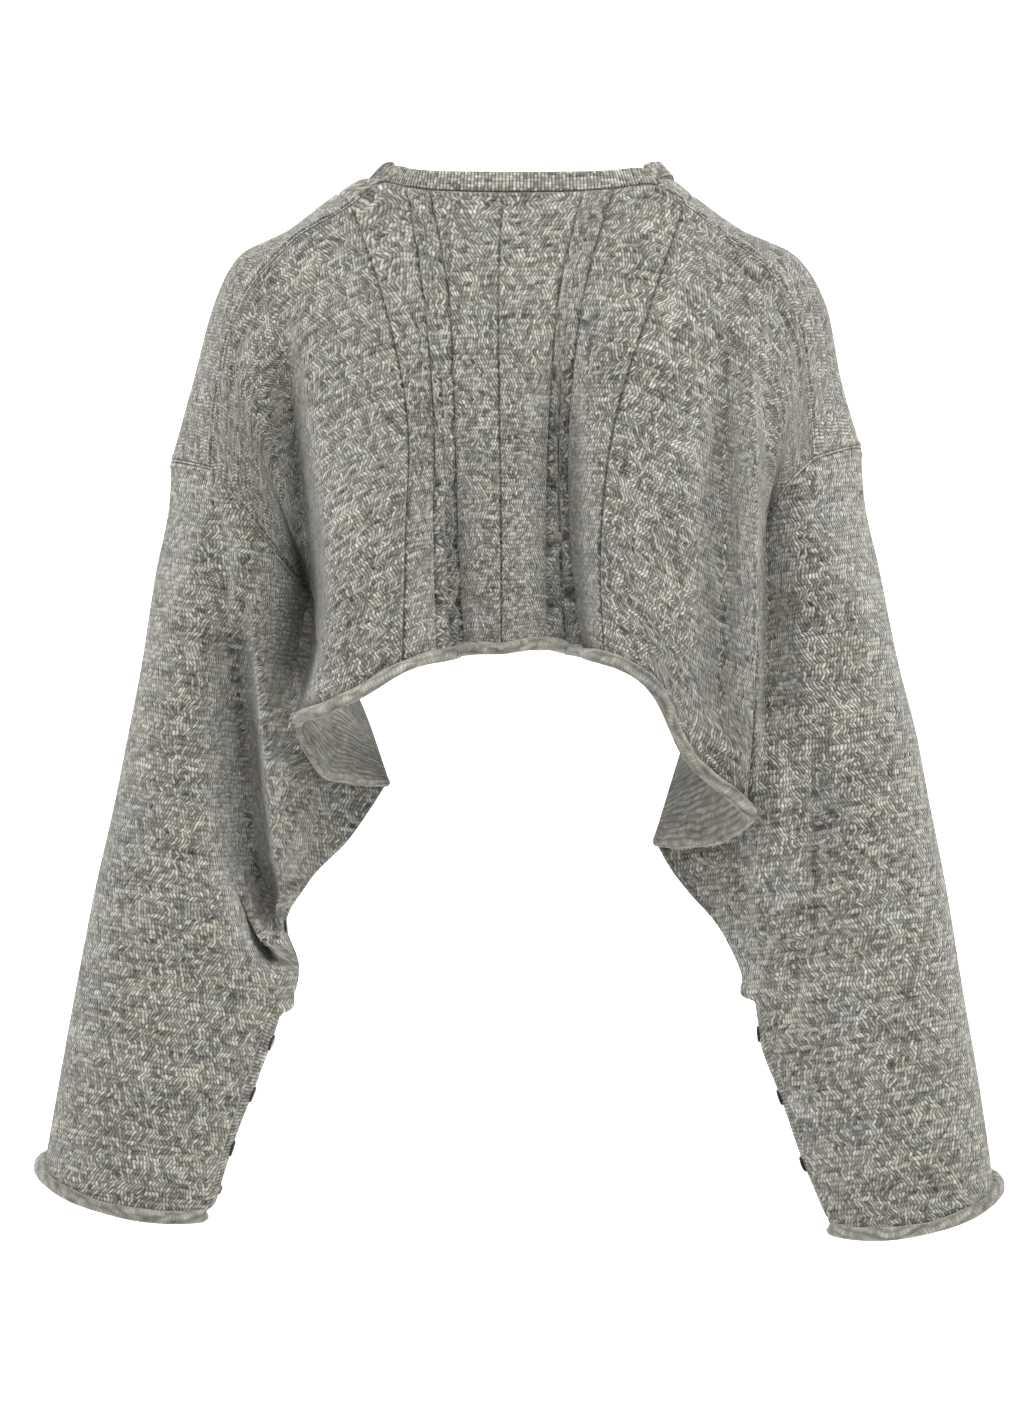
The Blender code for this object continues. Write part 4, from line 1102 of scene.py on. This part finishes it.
# Placket strips: a narrow knitted band behind each open sleeve seam, joined to the front edge and
# lying under the free back edge. The lower three buttons of each side are sewn on it.
STRIP_WALL = 2.0
STRIP_DEPTH = 1.9
STRIP_OVERLAP = math.radians(5)
STRIP_COLUMNS = 17
STRIP_ROW_STEP = 0.6
STRIP_RIB = 0.35
STRIP_COURSE = 0.0026
strip_wool = marl_knit("strip_wool", stitch=RIB_PITCH * MM, course=STRIP_COURSE, slant=0.0)
for side, form in sleeve_forms.items():
    rows = round((1 - form.opening.start) * SLEEVE_LENGTH / STRIP_ROW_STEP)
    along = np.linspace(form.opening.start, 1, rows)[:, None]
    back_edge, front_edge = form.slit(along)
    first = front_edge - 2 * math.pi - STRIP_OVERLAP
    last = back_edge + STRIP_OVERLAP
    turn = first + (last - first) * np.linspace(0, 1, STRIP_COLUMNS)
    surface = form.points(np.broadcast_to(along, turn.shape), turn)
    normals = grid_normals(surface, form.outward)
    outside = surface - normals * (WALL + STRIP_DEPTH)
    inside = outside - normals * STRIP_WALL
    section = np.concatenate([np.swapaxes(outside, 0, 1), np.swapaxes(inside, 0, 1)[::-1]])
    raised = np.repeat([1.0, 0.0], STRIP_COLUMNS)
    length = distances(outside, 0)[:, STRIP_COLUMNS // 2]
    strip = ribbed_piece(
        f"placket_{side}_band", section, length, raised, False, strip_wool, RIB_PITCH, STRIP_RIB
    )
    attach(strip, "root")
    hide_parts(f"placket_{side}")
    width = float(distances(outside, 1)[:, -1].mean()) * MM

# Buttons: ten small near-black plastic buttons with a dished face and a rounded rim, five along each
# sleeve seam. Two of each side are on the closed seam above the opening.
BUTTON_SIDES = 20
BUTTON_SUNK = 1.4
BUTTON_PROFILE = (
    (3.0, 0.45), (3.9, 0.7), (4.7, 1.0), (5.4, 1.05), (5.9, 0.7), (6.0, 0.1), (5.6, -0.6), (4.6, -0.95),
)
BUTTON_DARK = (0.008, 0.0075, 0.007, 1)
BUTTON_PALE = (0.03, 0.028, 0.025, 1)
PLASTIC_ROUGHNESS = 0.2
PLASTIC_SCALE = 260.0
BUTTON_COAT = 0.3
COAT_ROUGHNESS = 0.15


def set_out():
    """Geometry nodes that put a shape on each point, upright along facing and turned to along."""
    tree, given = geometry_tree("set_out", {"Shape": "Object"})
    points = add_node(tree, "GeometryNodeMeshToPoints", {"Mesh": given.outputs["Geometry"]})
    shape = add_node(tree, "GeometryNodeObjectInfo", {"Object": given.outputs["Shape"]})
    turned = None
    for axis, name in (("Z", "facing"), ("X", "along")):
        target = {"Vector": named_attribute(tree, name, "FLOAT_VECTOR")}
        align = add_node(tree, "FunctionNodeAlignRotationToVector", target, axis=axis)
        if turned:
            align.pivot_axis = "Z"
            feed(align, {"Rotation": turned})
        turned = align.outputs["Rotation"]
    copies = add_node(tree, "GeometryNodeInstanceOnPoints", {
        "Points": points.outputs["Points"], "Instance": shape.outputs["Geometry"], "Rotation": turned,
    })
    return end_tree(tree, given, copies.outputs["Instances"])


def copies_of(name, shape_mesh, places, facing, along, material):
    """One piece of the shape repeated at each place, in mm."""
    shape = link_object(f"{name}_shape", shape_mesh)
    mesh = new_mesh(name, (np.asarray(places) * MM).tolist(), [])
    for attribute, values in (("facing", facing), ("along", along)):
        stored = mesh.attributes.new(attribute, "FLOAT_VECTOR", "POINT")
        stored.data.foreach_set("vector", np.asarray(values, np.float32).ravel())
    piece = link_object(name, mesh)
    run_nodes(piece, set_out_tree, Shape=shape, Material=material)
    bpy.data.objects.remove(shape)
    return piece


def turned_mesh(name, profile, sides):
    """A closed mesh turned about the upright axis, from radii and heights in mm."""
    verts, faces = turned_surface([(radius * MM, height * MM) for radius, height in profile], sides)
    faces.append(tuple(range(sides)))
    faces.append(tuple(reversed(range(len(verts) - sides, len(verts)))))
    return new_mesh(name, verts, faces)


def object_noise(tree, scale, detail):
    where = add_node(tree, "ShaderNodeTexCoord", {})
    return noise_node(tree, where.outputs["Object"], scale, detail)


def polished_plastic(name):
    """Near-black plastic, softly polished, with faint clouds."""
    material, shader = new_material(name)
    tree = material.node_tree
    cloud = object_noise(tree, PLASTIC_SCALE, 3.0)
    feed(shader, {
        "Base Color": colour_ramp(tree, cloud, (0.3, BUTTON_DARK), (0.75, BUTTON_PALE)),
        "Roughness": math_node(tree, "MULTIPLY", math_node(tree, "ADD", cloud, 1.0), PLASTIC_ROUGHNESS),
        "Coat Weight": BUTTON_COAT,
        "Coat Roughness": COAT_ROUGHNESS,
    })
    return material


set_out_tree = set_out()
button_names = [f"button_{side}_{number}" for side in ("left", "right") for number in range(1, 6)]
button_places = []
button_facing = []
button_along = []
for name in button_names:
    solid = bpy.data.objects[name]
    corners = np.array([solid.matrix_world @ vert.co for vert in solid.data.vertices])
    middle = corners.mean(axis=0)
    spread, axes = np.linalg.eigh(np.cov((corners - middle).T))
    outward = axes[:, 0] * np.sign(axes[:, 0] @ (-middle * (1, 0, 0)))
    button_places.append(middle / MM - outward * BUTTON_SUNK)
    button_facing.append(outward)
    button_along.append(axes[:, 2])
buttons = copies_of(
    "buttons", turned_mesh("button_shape", BUTTON_PROFILE, BUTTON_SIDES), button_places, button_facing,
    button_along, polished_plastic("black_plastic"),
)
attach(buttons, "root")
for name in button_names:
    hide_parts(name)

# Linking stitches: a line of small loops of the same yarn closes each shoulder seam and each armhole
# seam, and shows as a fine pale chain in the dip between the panels.
STITCH_PITCH = 2.3
STITCH_PROFILE = ((0.45, 0.42), (0.8, 0.0), (0.45, -0.42))
STITCH_SIDES = 8
STITCH_LENGTH = 1.5
STITCH_SINK = 0.35
YARN_BUMP = 0.0003
PLY_SCALE = 420.0
YARN_SHEEN = 0.3


def seam_stitches(line, normals):
    """Places, facing and direction of the stitches along a seam."""
    run = distances(line[None], 1)[0]
    places = np.arange(STITCH_PITCH, run[-1] - STITCH_PITCH, STITCH_PITCH)
    at = points_along(places, run, line)
    ahead = points_along(places + 1, run, line)
    facing = unit(points_along(places, run, normals))
    return at - facing * STITCH_SINK, facing, unit(ahead - at)


def spun_yarn(name):
    """The same marl yarn, with its ply as fine noise."""
    material, shader = new_material(name)
    tree = material.node_tree
    ply = object_noise(tree, PLY_SCALE, 2.0)
    bump = add_node(tree, "ShaderNodeBump", {"Distance": YARN_BUMP, "Height": ply})
    feed(shader, {
        "Base Color": colour_ramp(tree, ply, (0.3, DARK_YARN), (0.62, LIGHT_YARN)),
        "Normal": bump.outputs["Normal"],
        "Roughness": WOOL_ROUGHNESS,
        "Sheen Weight": YARN_SHEEN,
    })
    return material


seams = [
    (back[0, : back_necks[0] + 1], back_normals[0, : back_necks[0] + 1]),
    (back[0, back_necks[1] :], back_normals[0, back_necks[1] :]),
]
for column in (0, -1):
    seams.append((
        np.concatenate([back[::-1, column], front[1:, column]]),
        np.concatenate([back_normals[::-1, column], front_normals[1:, column]]),
    ))
stitch_sets = [seam_stitches(line, normals) for line, normals in seams]
stitch_shape = turned_mesh("stitch_shape", STITCH_PROFILE, STITCH_SIDES)
for vert in stitch_shape.vertices:
    vert.co.x *= STITCH_LENGTH
stitch_places, stitch_facing, stitch_along = (np.concatenate(found) for found in zip(*stitch_sets))
stitches = copies_of(
    "linking_stitches", stitch_shape, stitch_places, stitch_facing, stitch_along, spun_yarn("linking_yarn")
)
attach(stitches, "root")
